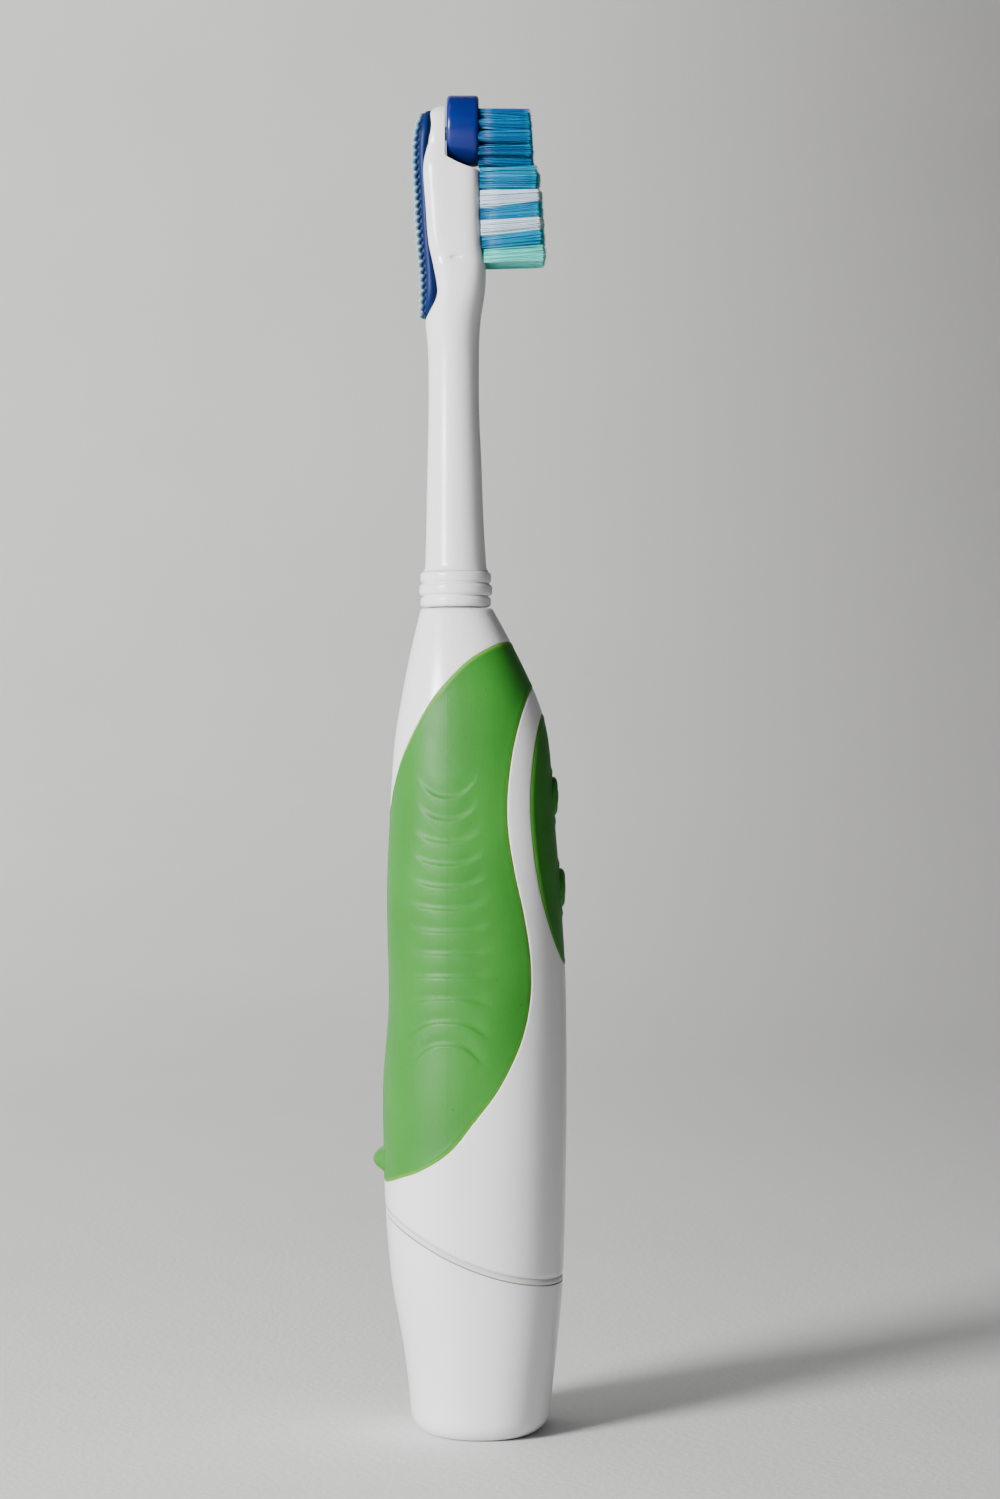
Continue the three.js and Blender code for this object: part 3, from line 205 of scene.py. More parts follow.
def make_piece(name, points, faces, material, smooth=True):
    """A mesh object at the origin from points in millimetres and a list of faces."""
    mesh = bpy.data.meshes.new(name)
    points = np.asarray(points, float) * MM
    if isinstance(faces, np.ndarray):
        mesh.vertices.add(len(points))
        mesh.vertices.foreach_set("co", points.astype(np.float32).ravel())
        mesh.loops.add(faces.size)
        mesh.loops.foreach_set("vertex_index", faces.astype(np.int32).ravel())
        mesh.polygons.add(len(faces))
        mesh.polygons.foreach_set("loop_start", np.arange(0, faces.size, faces.shape[1], dtype=np.int32))
    else:
        mesh.from_pydata(points.tolist(), [], faces)
    mesh.update(calc_edges=True)
    mesh.validate()
    mesh.polygons.foreach_set("use_smooth", np.full(len(mesh.polygons), smooth))
    mesh.materials.append(material)
    piece = bpy.data.objects.new(name, mesh)
    bpy.context.scene.collection.objects.link(piece)
    return piece


def give_wall(piece, thickness):
    """Turns an open skin into a closed shell by a wall inwards."""
    wall = piece.modifiers.new("wall", "SOLIDIFY")
    wall.thickness = thickness * MM
    wall.offset = -1
    wall.use_even_offset = False
    wall.use_quality_normals = True


def blank_material(name, constants):
    """A node material with constants on its shader's sockets, and short ways to add and join nodes."""
    material = bpy.data.materials.new(name)
    material.use_nodes = True
    tree = material.node_tree
    link = tree.links.new
    shader = tree.nodes["Principled BSDF"]
    for socket, value in constants.items():
        shader.inputs[socket].default_value = value
    where = tree.nodes.new("ShaderNodeTexCoord").outputs["Object"]

    def node(kind, source=None, **settings):
        """A node of that kind, its sockets and settings set, fed by source through its first socket."""
        n = tree.nodes.new(kind)
        for key, value in settings.items():
            if key in n.inputs:
                n.inputs[key].default_value = value
            else:
                setattr(n, key, value)
        if source is not None:
            link(source, n.inputs[0])
        return n

    def noise(scale, detail=3.0, rough=0.5, stretch=(1, 1, 1)):
        """Cloudy noise in the piece's own space, in cycles per metre."""
        place = node("ShaderNodeMapping", where, Scale=stretch).outputs["Vector"]
        return node("ShaderNodeTexNoise", place, Scale=scale, Detail=detail, Roughness=rough).outputs["Fac"]

    def ramp(source, stops, blend="LINEAR"):
        """Colour read from stops of (place, colour)."""
        r = node("ShaderNodeValToRGB", source)
        r.color_ramp.interpolation = blend
        for element, (place, colour) in zip(r.color_ramp.elements, (stops[0], stops[-1])):
            element.position, element.color = place, (*colour, 1)
        for place, colour in stops[1:-1]:
            r.color_ramp.elements.new(place).color = (*colour, 1)
        return r.outputs["Color"]

    def share(direction, low, high):
        """How far along one axis a point lies between low and high, as a number from 0 to 1."""
        split = node("ShaderNodeSeparateXYZ", where)
        m = node("ShaderNodeMapRange", split.outputs[direction])
        m.inputs["From Min"].default_value, m.inputs["From Max"].default_value = low, high
        return m.outputs["Result"]

    def attribute(name):
        return node("ShaderNodeAttribute", attribute_name=name).outputs["Fac"]

    def mix(factor, a, b):
        """Colour a turned into colour b by the factor."""
        m = node("ShaderNodeMix", factor, data_type="RGBA")
        for value, socket in ((a, m.inputs[6]), (b, m.inputs[7])):
            if isinstance(value, bpy.types.NodeSocket):
                link(value, socket)
            else:
                socket.default_value = (*value, 1)
        return m.outputs[2]

    def colour(source):
        link(source, shader.inputs["Base Color"])

    def wander(source, low, high):
        """Colour between two colours, by the noise."""
        return ramp(source, [(0.3, low), (0.7, high)])

    def rough(source, low, high):
        """Roughness between two values, by the noise."""
        m = node("ShaderNodeMapRange", source)
        m.inputs["To Min"].default_value, m.inputs["To Max"].default_value = low, high
        link(m.outputs["Result"], shader.inputs["Roughness"])

    def bump(source, strength, distance=0.0002):
        """Fine relief from the noise."""
        b = node("ShaderNodeBump", Strength=strength, Distance=distance)
        link(source, b.inputs["Height"])
        link(b.outputs["Normal"], shader.inputs["Normal"])

    return material, SimpleNamespace(
        noise=noise, ramp=ramp, share=share, attribute=attribute, mix=mix, colour=colour, wander=wander,
        rough=rough, bump=bump,
    )


def skin_depth(weight, radius):
    """Shader constants for light that sinks a little way into plastic, rubber or nylon: its share, and
    how far red, green and blue go, in metres."""
    return {"Subsurface Weight": weight, "Subsurface Radius": radius, "Subsurface Scale": 1.0}


# ---- white plastic
# Injection-moulded gloss ABS of the handle, cap and head: a faintly cool white, with a slight
# swirl in the gloss and a very faint unevenness of the moulded skin.

white_plastic, use = blank_material("white plastic", {"IOR": 1.5, **skin_depth(0.06, (0.0025, 0.002, 0.0018))})
use.colour(use.wander(use.noise(55, 3), (0.735, 0.735, 0.755), (0.775, 0.772, 0.79)))
use.rough(use.noise(160, 4), 0.18, 0.28)
use.bump(use.noise(900, 2), 0.05)


# ---- soft grip and panel outlines
# The soft skin is moulded over the housing in a shallow recess. Its edges are seen best from the
# side, so they are curves there: millimetres towards the back, millimetres up.

GRIP_UPPER_EDGE = [
    (-14, 138.95), (-8.5, 138.95), (-4.6, 138.6), (-1.6, 137.4), (1.86, 135.3), (5.3, 132.05), (8.8, 127.8),
    (12.33, 121.5), (14.1, 117.35), (15.4, 112.6), (16.3, 108.5), (19, 105.5),
]
GRIP_LOWER_EDGE = [
    (-14, 130.9), (-9.9, 130.75), (-9.15, 130.3), (-8.6, 129.4), (-6.84, 124.15), (-5.5, 118),
    (-4.78, 111), (-4.9, 105.5), (-6.1, 98), (-7.6, 91.2), (-8.75, 83.5), (-8.75, 76.5), (-7.3, 69.5),
    (-3.4, 61.3), (0.94, 55.5), (5.2, 50.3), (10.4, 46.8), (14, 45.2), (17.1, 43.64), (21, 42.2),
]
PANEL_EDGE = [
    (-14, 127.3), (-11.7, 127.1), (-11.1, 126.6), (-10.55, 125.2), (-9.8, 122.2), (-9.0, 116.5),
    (-8.65, 110), (-9.0, 104), (-9.95, 97), (-11.2, 91.5), (-12.6, 86.9), (-14.2, 82.85), (-16.5, 78.5),
]


def curve_through(points, pieces):
    """A smooth line through the points: between two of them it leaves and arrives along
    the direction that joins their neighbours, timed by the square root of the gaps."""
    p = np.asarray(points, float)
    p = np.concatenate([[2 * p[0] - p[1]], p, [2 * p[-1] - p[-2]]])
    t = np.concatenate([[0], np.cumsum(np.sqrt(np.linalg.norm(np.diff(p, axis=0), axis=1)))])
    out = []
    for i in range(1, len(p) - 2):
        s = np.linspace(t[i], t[i + 1], pieces, endpoint=False)[:, None]
        a1 = ((t[i] - s) * p[i - 1] + (s - t[i - 1]) * p[i]) / (t[i] - t[i - 1])
        a2 = ((t[i + 1] - s) * p[i] + (s - t[i]) * p[i + 1]) / (t[i + 1] - t[i])
        a3 = ((t[i + 2] - s) * p[i + 1] + (s - t[i + 1]) * p[i + 2]) / (t[i + 2] - t[i + 1])
        b1 = ((t[i + 1] - s) * a1 + (s - t[i - 1]) * a2) / (t[i + 1] - t[i - 1])
        b2 = ((t[i + 2] - s) * a2 + (s - t[i]) * a3) / (t[i + 2] - t[i])
        out.append(((t[i + 1] - s) * b1 + (s - t[i]) * b2) / (t[i + 1] - t[i]))
    return np.concatenate(out + [p[-2:-1]])


def signed_distance(outline, y, z):
    """Distance from points to a closed outline, positive inside: the least distance to its sides,
    with the sign from how many sides a level ray crosses."""
    a = outline
    b = np.roll(outline, -1, axis=0)
    shape = np.shape(y)
    p = np.stack([np.ravel(y), np.ravel(z)], 1)
    best = np.full(len(p), 1e9)
    inside = np.zeros(len(p), bool)
    for start, end in zip(a, b):
        d = end - start
        t = np.clip(((p - start) @ d) / max(d @ d, 1e-12), 0, 1)
        best = np.minimum(best, np.linalg.norm(p - start - t[:, None] * d, axis=1))
        crosses = (start[1] > p[:, 1]) != (end[1] > p[:, 1])
        if d[1]:
            inside ^= crosses & (p[:, 0] < start[0] + (p[:, 1] - start[1]) / d[1] * d[0])
    return np.where(inside, best, -best).reshape(shape)


FAR = 40                    # well outside the handle, where an outline is closed
grip_lower = curve_through(GRIP_LOWER_EDGE, 8)
grip_upper = curve_through(GRIP_UPPER_EDGE, 8)
panel_edge = curve_through(PANEL_EDGE, 8)
grip_outline = np.concatenate([
    [[-FAR, grip_lower[0, 1]]], grip_lower, [[FAR, grip_lower[-1, 1]], [FAR, grip_upper[-1, 1]]],
    grip_upper[::-1], [[-FAR, grip_upper[0, 1]]],
])
panel_outline = np.concatenate([
    panel_edge, [[-FAR, panel_edge[-1, 1]], [-FAR, panel_edge[0, 1]]],
])


def seam_at(y):
    """Height of the line where the cap ends: a slope with a slight upward curve."""
    return 30.5 + 0.355 * y + 0.0098 * y * y


def seam_height(angle, lift):
    """Height at which the handle's form meets the seam line, by repeating: height, its y, new height."""
    z = np.full_like(angle, 30.0)
    for _ in range(12):
        z = seam_at(handle_place(angle, z)[..., 1]) + lift
    return z


def true_distance(side_distance, points, columns):
    """A side-view distance divided by how fast it changes along the surface, so that it holds
    on the surface where that turns away from the side."""
    d = side_distance.reshape(-1, columns)
    p = points.reshape(-1, columns, 3)
    up = np.gradient(d, axis=0) / np.maximum(np.linalg.norm(np.gradient(p, axis=0), axis=-1), 1e-9)
    step = (np.roll(p, -1, 1) - np.roll(p, 1, 1)) / 2
    across = (np.roll(d, -1, 1) - np.roll(d, 1, 1)) / 2 / np.maximum(np.linalg.norm(step, axis=-1), 1e-9)
    return (d / np.clip(np.hypot(up, across), 0.3, 1)).ravel()


def handle_skin(spacing, round_count, low, high):
    """The handle's form as a skin whose lowest row is a line low(angle) and highest high(angle),
    with the true distances to the grip and panel outlines at each corner."""
    angles = even_angles(round_count, 16, 15, SQUARENESS)
    bottom, top = low(angles), high(angles)
    rows = int((top - bottom).max() / spacing) + 1
    t = np.linspace(0, 1, rows)[:, None]
    z = bottom * (1 - t) + top * t
    angle = np.broadcast_to(angles, z.shape)
    points = handle_place(angle, z)
    fields = {}
    for name, outline in (("grip", grip_outline), ("panel", panel_outline)):
        side = signed_distance(outline, points[..., 1], points[..., 2])
        fields[name] = true_distance(side, points, round_count)
    return Skin(angle.ravel(), z.ravel(), grid_triangles(rows, round_count), fields)


def rounded_step(d, radius):
    """Depth of a surface that rounds over into a step at d = 0: a quarter circle of that radius."""
    t = np.clip(1 - d / radius, 0, 1)
    return radius * (1 - np.sqrt(np.maximum(1 - t * t, 0)))


def disc_cap(ring, centre, start):
    """Triangles that close a ring of corners with a fan to one corner."""
    i = np.arange(ring)
    return np.stack([start + i, np.full(ring, centre), start + (i + 1) % ring], 1)


# ---- handle housing
# One white moulding from the seam to the round nose that carries the head. The soft skin lies in
# recesses in it, so its own edge is rounded over where it drops into them.

SKIN_THICKNESS = 0.8
BUTTON_RADIUS = 3.5
BUTTON_HEIGHTS = {"on_button": 0.771 * HANDLE_LENGTH, "off_button": 0.659 * HANDLE_LENGTH}
HOUSING_EDGE = 0.12
HOUSING_WALL = 1.25
MOULD_LINE_Y = 4.3
MOULD_LINE_HALF = 0.16
MOULD_LINE_RELIEF = 0.016
MOULD_LINE_CUTS = (-0.4, -MOULD_LINE_HALF, 0.0, MOULD_LINE_HALF, 0.4)


def cut_mould_line(skin, y_line):
    """Stores each flank corner's distance behind the mould's parting line, and cuts the skin along it."""
    points = handle_place(skin.field("angle"), skin.field("z"))
    skin.add_field("mould", np.where(np.abs(points[:, 0]) > 6, points[:, 1] - y_line, 99))
    for level in MOULD_LINE_CUTS:
        skin.split("mould", level)


def mould_ridge(skin):
    """1 on the parting line, falling straight to 0 at its half width."""
    return np.clip(1 - np.abs(skin.field("mould")) / MOULD_LINE_HALF, 0, 1)


skin = handle_skin(
    0.75, 150, lambda a: seam_height(a, 0.0), lambda a: np.full_like(a, HANDLE_LENGTH),
)
for name in ("grip", "panel"):
    for level in (-HOUSING_EDGE, -HOUSING_EDGE / 3, 0.0, 0.05):
        skin.split(name, level)
cut_mould_line(skin, MOULD_LINE_Y)
points = handle_place(skin.field("angle"), skin.field("z"))
for name in BUTTON_HEIGHTS:
    reach = np.hypot(points[:, 0], points[:, 2] - BUTTON_HEIGHTS[name])
    skin.add_field(name, np.where(points[:, 1] < 0, reach, 99))
for name in BUTTON_HEIGHTS:
    skin.split(name, BUTTON_RADIUS + 0.3, keep="above")
angle, z = skin.field("angle"), skin.field("z")
nearest = np.maximum(skin.field("grip"), skin.field("panel"))
outside = -nearest
depth = np.where(
    outside > 0, rounded_step(outside, HOUSING_EDGE),
    HOUSING_EDGE + (SKIN_THICKNESS + 0.05 - HOUSING_EDGE) * np.clip(nearest / 0.05, 0, 1),
)
above_seam = z - seam_height(angle, 0.0)
depth = np.maximum(depth, rounded_step(above_seam, 0.14))
depth -= MOULD_LINE_RELIEF * mould_ridge(skin) * (outside > 1)
points = handle_place(angle, z)
points -= form_normal(handle_place, angle, z) * depth[:, None]
housing = make_piece("handle_housing_shell", points, skin.triangles, white_plastic)
give_wall(housing, HOUSING_WALL)

# The nose is turned: a round peg with a groove for the seal ring, a seat for the shaft seal at its
# top, and a shoulder plate that closes the housing's top.
NECK_Y = 4.4
NOSE_RADIUS = 4.0
NOSE_TOP = HANDLE_LENGTH + 11.6
ORING_Z = HANDLE_LENGTH + 5.1


def turned_piece(name, profile, centre, axis, material, count=64):
    """A closed profile of (radius, place along the axis) points turned about an axis through centre.
    A profile that starts or ends on the axis gets one pole corner there."""
    profile = np.asarray(profile, float)
    turn = np.linspace(0, 2 * np.pi, count, endpoint=False)
    open_ends = profile[0, 0] < 1e-9 and profile[-1, 0] < 1e-9
    rings = profile[1:-1] if open_ends else profile
    r, h = rings[:, 0][:, None], rings[:, 1][:, None]
    u, v = r * np.cos(turn), r * np.sin(turn)
    along = h + 0 * turn
    layout = {"z": (u, v, along), "y": (u, along, -v), "x": (along, u, v)}[axis]
    pts = np.stack(layout, -1).reshape(-1, 3)
    rows = len(rings)
    r_index, c = np.meshgrid(np.arange(rows - 1 if open_ends else rows), np.arange(count), indexing="ij")
    a, b = r_index * count + c, r_index * count + (c + 1) % count
    up = ((r_index + 1) % rows) * count
    faces = np.stack([a, b, up + (c + 1) % count, up + c], -1).reshape(-1, 4).tolist()
    if open_ends:
        low = len(pts)
        pts = np.concatenate([pts, profile[[0, -1], 1][:, None] * np.eye(3)["xyz".index(axis)]])
        last = (rows - 1) * count
        for i in range(count):
            j = (i + 1) % count
            faces += [[j, i, low], [last + i, last + j, low + 1]]
    return make_piece(name, pts + np.asarray(centre, float), faces, material)


def outward(piece):
    """Points every face of a closed piece outwards."""
    mesh = bmesh.new()
    mesh.from_mesh(piece.data)
    bmesh.ops.remove_doubles(mesh, verts=mesh.verts, dist=1e-7)
    bmesh.ops.recalc_face_normals(mesh, faces=mesh.faces)
    mesh.to_mesh(piece.data)
    mesh.free()
    return piece


nose = outward(turned_piece("handle_nose", [
    (1.55, HANDLE_LENGTH - 4.5), (5.6, HANDLE_LENGTH - 4.5), (6.2, HANDLE_LENGTH - 1.2),
    (6.25, HANDLE_LENGTH - 0.4), (5.9, HANDLE_LENGTH - 0.02), (NOSE_RADIUS + 0.3, HANDLE_LENGTH),
    (NOSE_RADIUS, HANDLE_LENGTH + 0.3),
    (NOSE_RADIUS, ORING_Z - 0.75), (NOSE_RADIUS - 0.1, ORING_Z - 0.7), (NOSE_RADIUS - 0.65, ORING_Z - 0.65),
    (NOSE_RADIUS - 0.65, ORING_Z + 0.65), (NOSE_RADIUS - 0.1, ORING_Z + 0.7), (NOSE_RADIUS, ORING_Z + 0.75),
    (NOSE_RADIUS, NOSE_TOP - 0.6), (NOSE_RADIUS - 0.18, NOSE_TOP - 0.15), (NOSE_RADIUS - 0.6, NOSE_TOP),
    (2.95, NOSE_TOP), (2.9, NOSE_TOP - 0.05), (2.9, NOSE_TOP - 4.0), (1.55, NOSE_TOP - 4.0),
], (0, NECK_Y, 0), "z", white_plastic, 72))
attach(housing, "handle")
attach(nose, "handle")
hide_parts("handle_housing")


# ---- soft green skin
# Satin thermoplastic rubber moulded over the housing: a saturated leaf green that is a little
# paler and yellower at its thin lips, with the odd dark speck of bathroom grime.

green_skin, use = blank_material("green grip", {
    "IOR": 1.48, "Specular IOR Level": 0.26, **skin_depth(0.08, (0.0008, 0.0015, 0.0005)),
})
body_colour = use.wander(use.noise(70, 4), (0.023, 0.166, 0.0165), (0.031, 0.198, 0.022))
body_colour = use.mix(use.attribute("lip"), body_colour, (0.13, 0.36, 0.02))
specks = use.ramp(use.noise(1500, 2, 0.6), [(0.715, (0, 0, 0)), (0.76, (1, 1, 1))])
body_colour = use.mix(specks, body_colour, (0.03, 0.09, 0.02))
# painted shade: a darker green along the moulding line stands in for the shade of its small step
use.colour(use.mix(use.attribute("line"), body_colour, (0.02, 0.12, 0.015)))
use.rough(use.noise(240, 4), 0.4, 0.56)
use.bump(use.noise(2600, 2), 0.12)


def set_field(piece, name, values):
    """Stores one number at each corner of a mesh, for its material to read."""
    piece.data.attributes.new(name, "FLOAT", "POINT").data.foreach_set(
        "value", np.asarray(values, np.float32))


# ---- soft grip
# Wraps the back and flanks. A field of twelve curved finger ridges like overlapping shingles lies
# on each flank, a moulding line runs down through it, and a small bar on the back stops rolling.

GRIP_LIP = 0.28
SKIN_WALL = 0.7
SKIN_GAP = 0.03             # between the soft skin's edge and the white plastic beside it
RIDGE_Y = 5.75
RIDGE_TOP = 111.15
RIDGE_PITCH = 3.877
RIDGE_COUNT = 12
RIDGE_LIP = 0.2
RIDGE_RISE = 1.16
STEEPEST = 0.52
NUB_Z = 47.5


def ridge_line(i, y):
    """Height of ridge i: a flat-bottomed curve, bent up at its ends at the top ridge, level at the
    seventh and bent down at the last."""
    bend = np.interp(i, [0, 1, 2, 5, 8, 9, 11], [0.118, 0.09, 0.048, 0.022, -0.004, -0.016, -0.085])
    away = np.abs(y - RIDGE_Y)
    return RIDGE_TOP - RIDGE_PITCH * i + bend * away**2 * np.sqrt(away / 4.5)


def ridge_half_width(i):
    """Half length of ridge i: widest in the lower middle of the field."""
    return np.interp(i, [0, 2, 4, 7, 9, 11], [5.4, 6.6, 7.6, 8.1, 8.1, 5.6])


skin = handle_skin(0.6, 148, lambda a: np.full_like(a, 40.5), lambda a: np.full_like(a, 140.5))
skin.split("grip", SKIN_GAP, keep="above")
for level in (0.08, 0.15, GRIP_LIP, 0.7):
    skin.split("grip", level)
points = handle_place(skin.field("angle"), skin.field("z"))
skin.add_field("y", points[:, 1])
for i in range(RIDGE_COUNT):
    skin.add_field(f"ridge{i}", skin.field("z") - ridge_line(i, skin.field("y")))
    for level in (-RIDGE_LIP, 0.0, 0.2, 0.45, 0.8, RIDGE_RISE):
        beside = np.abs(skin.field("y") - RIDGE_Y) < ridge_half_width(i) + 0.3
        skin.split(f"ridge{i}", level, within=beside)
cut_mould_line(skin, RIDGE_Y)
angle, z = skin.field("angle"), skin.field("z")
points = handle_place(angle, z)
y = points[:, 1]
stack = np.stack([z - ridge_line(i, y) for i in range(RIDGE_COUNT)], 0)
below = (stack < -1e-6)                                   # corner lies under ridge i's edge
index = np.clip(below.sum(0) - 1, 0, RIDGE_COUNT - 1)     # the ridge just above the corner
under = np.where(below.any(0), -np.take_along_axis(stack, index[None], 0)[0], -stack[0])
width = ridge_half_width(np.clip(index, 0, RIDGE_COUNT - 1))
next_gap = np.where(
    index < RIDGE_COUNT - 1,
    z - ridge_line(np.minimum(index + 1, RIDGE_COUNT - 1), y), 9.0,
)
# One ridge from its crest down to the next crest, as a running sum of its slope: it rounds over the
# lip, falls away slowly, and rises again ever more steeply to the next lip.
phase = np.linspace(0, 1, 400)
lip_end, rise_start = RIDGE_LIP / RIDGE_PITCH, 1 - RIDGE_RISE / RIDGE_PITCH
decline = STEEPEST * (lip_end + 1 - rise_start) / (1 - lip_end)
slope = np.interp(phase, [0, lip_end, rise_start, 1], [STEEPEST, 0, -decline, STEEPEST])
ridge_height = np.cumsum(slope) / len(phase) * RIDGE_PITCH
ridge_height -= phase * ridge_height[-1]
height = np.interp(under / np.maximum(under + next_gap, 0.1), phase, ridge_height)
last_ridge = ridge_height.max() * np.clip(under / RIDGE_LIP, 0, 1) * np.clip(1 - under / 3.4, 0, 1) ** 1.5
height = np.where(index == RIDGE_COUNT - 1, last_ridge, height)
above_top = np.interp(1 - np.clip(stack[0], 0, RIDGE_RISE) / RIDGE_PITCH, phase, ridge_height)
above_top = above_top * np.clip(1 - (stack[0] - RIDGE_RISE) / 2.4, 0, 1) ** 1.5
height = np.where(below.any(0), height, above_top)
fade = np.clip((width - np.abs(y - RIDGE_Y)) / 3.8 + 0.1, 0, 1)
height = height * fade * fade * (3 - 2 * fade)
distance = skin.field("grip")
height -= rounded_step(distance, GRIP_LIP)
height += 0.06 * np.exp(-((distance - 0.75) / 0.35) ** 2)
# the moulding line, a hair proud
height += 0.005 * mould_ridge(skin)
# the bar on the back that stops the brush rolling
bar = np.clip(1 - ((z - NUB_Z) / 1.75) ** 2, 0, 1) ** 0.6
ends = np.clip(1 - (points[:, 0] / 4.6) ** 4, 0, 1) ** 0.6
height += np.where(y > 8, 1.85 * bar * ends, 0)
points += form_normal(handle_place, angle, z) * height[:, None]
grip = make_piece("grip_skin", points, skin.triangles, green_skin)
set_field(grip, "lip", np.clip(1 - (distance - SKIN_GAP) / 0.7, 0, 1) ** 1.5)
# how strongly the moulding line's painted shade darkens each corner
set_field(grip, "line", 0.35 * mould_ridge(skin))
give_wall(grip, SKIN_WALL)
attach(grip, "handle")
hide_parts("grip_overmould")


# ---- button panel
# The same soft skin in front, round two push buttons, with a rounded rim beside the white band.

skin = handle_skin(0.5, 176, lambda a: np.full_like(a, 75.0), lambda a: np.full_like(a, 129.5))
skin.split("panel", SKIN_GAP, keep="above")
for level in (0.08, 0.15, GRIP_LIP, 0.8):
    skin.split("panel", level)
points = handle_place(skin.field("angle"), skin.field("z"))
for name, centre in BUTTON_HEIGHTS.items():
    skin.add_field(name, np.hypot(points[:, 0], points[:, 2] - centre))
for name in BUTTON_HEIGHTS:
    skin.split(name, BUTTON_RADIUS + 0.22, keep="above")
    skin.split(name, BUTTON_RADIUS + 0.45)
    skin.split(name, BUTTON_RADIUS + 0.9)
angle, z = skin.field("angle"), skin.field("z")
points = handle_place(angle, z)
distance = skin.field("panel")
height = -rounded_step(distance, GRIP_LIP) + 0.12 * np.exp(-((distance - 0.95) / 0.45) ** 2)
for name in BUTTON_HEIGHTS:
    round_edge = skin.field(name) - BUTTON_RADIUS - 0.22
    height += 0.22 * np.exp(-((round_edge - 0.75) / 0.5) ** 2) - rounded_step(round_edge, 0.3)
points += form_normal(handle_place, angle, z) * height[:, None]
panel = make_piece("button_panel_skin", points, skin.triangles, green_skin)
set_field(panel, "lip", np.clip(1 - (distance - SKIN_GAP) / 0.7, 0, 1) ** 1.5 * 0.5)
give_wall(panel, SKIN_WALL)
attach(panel, "handle")
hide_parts("button_panel")


# ---- push buttons
# Two domed buttons of the same rubber that travel 0.8 mm onto the switches behind them. Each has a
# shallow ring-shaped dish, and the lower one is also hollow in its middle, so that they feel different.

for name, body, hollow in (("on_button", "on_push", 0.0), ("off_button", "off_push", 0.072)):
    low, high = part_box(name)
    face, tail = low.y / MM, high.y / MM
    radius = np.array([1.0, 0.985, 0.95, 0.88, 0.78, 0.66, 0.52, 0.4, 0.28, 0.15]) * BUTTON_RADIUS
    rise = np.sqrt(np.clip(1 - (radius / BUTTON_RADIUS) ** 3.2, 0, 1))
    dish = 0.16 * np.exp(-((radius - 1.55) / 0.55) ** 2)
    crown = face + 0.95 * (1 - rise) + dish + hollow * np.exp(-(radius / 1.3) ** 2)
    flange = BUTTON_RADIUS + 0.65
    profile = [(0, tail), (1.2, tail), (1.2, face + 5.2), (flange, face + 5.2), (flange, face + 4.7),
               (BUTTON_RADIUS, face + 4.65), (BUTTON_RADIUS, face + 1.25)]
    profile += list(zip(radius, crown)) + [(0, crown[-1])]
    button = outward(turned_piece(f"{name}_cap", profile, (0, 0, BUTTON_HEIGHTS[name]), "y", green_skin, 64))
    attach(button, body)
    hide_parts(name)


# ---- base cap
# White cup that closes the cells in and that the brush stands on: a flat foot, a rounded bottom
# edge and two tongues that plug into the handle. A soft pale ring lies in the joint.

SEAM_BAND = 1.15
CAP_WALL = 1.5
FOOT_HOLLOW = 0.5

low_row = np.concatenate([
    BASE_CORNER * (1 - np.cos(np.linspace(0, np.pi / 2, 12)[:-1])),
    np.linspace(BASE_CORNER, BASE_CORNER + 1, 3)[:-1],
])
angles = even_angles(140, 16, 15, SQUARENESS)
top = seam_height(angles, -SEAM_BAND)
t = np.linspace(0, 1, 30)[:, None]
upper = (BASE_CORNER + 1) * (1 - t) + (top - 0.5) * t
edge = top - np.array([0.3, 0.16, 0.1, 0.05, 0.02, 0.0])[:, None]
z = np.concatenate([np.broadcast_to(low_row[:, None], (len(low_row), len(angles))), upper, edge])
angle = np.broadcast_to(angles, z.shape)
points = handle_place(angle, z)
under = np.clip(top - z, 0, None)
points = points - form_normal(handle_place, angle, z) * rounded_step(under, 0.16)[..., None]
# the underside: rings that shrink to the middle, with a shallow dished field inside a standing rim
rim = points[0]
shares = np.array([0.985, 0.96, 0.93, 0.9, 0.86, 0.7, 0.45, 0.2])
lift = np.array([0, 0, 0, 0.12, 0.35, 0.45, 0.48, FOOT_HOLLOW])
middle = rim.mean(0)
foot = middle + (rim - middle) * shares[:, None, None]
foot[..., 2] = lift[:, None]
rows = np.concatenate([foot[::-1], points])
pts = np.concatenate([rows.reshape(-1, 3), [[*middle[:2], FOOT_HOLLOW]]])
count = len(angles)
tri = np.concatenate([grid_triangles(len(rows), count), disc_cap(count, len(pts) - 1, 0)])
cap = make_piece("base_cap_shell", pts, tri, white_plastic)
give_wall(cap, CAP_WALL)
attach(cap, "cap")
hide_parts("battery_cap")



def loop_quads(lines, corners, spans):
    """Quads between neighbouring lines of corners, the last line joined to the first; spans counts the
    quads along a line: as many as corners when it closes on itself, one fewer when it is open."""
    return [[i * corners + k, i * corners + (k + 1) % corners,
             (i + 1) % lines * corners + (k + 1) % corners, (i + 1) % lines * corners + k]
            for i in range(lines) for k in range(spans)]


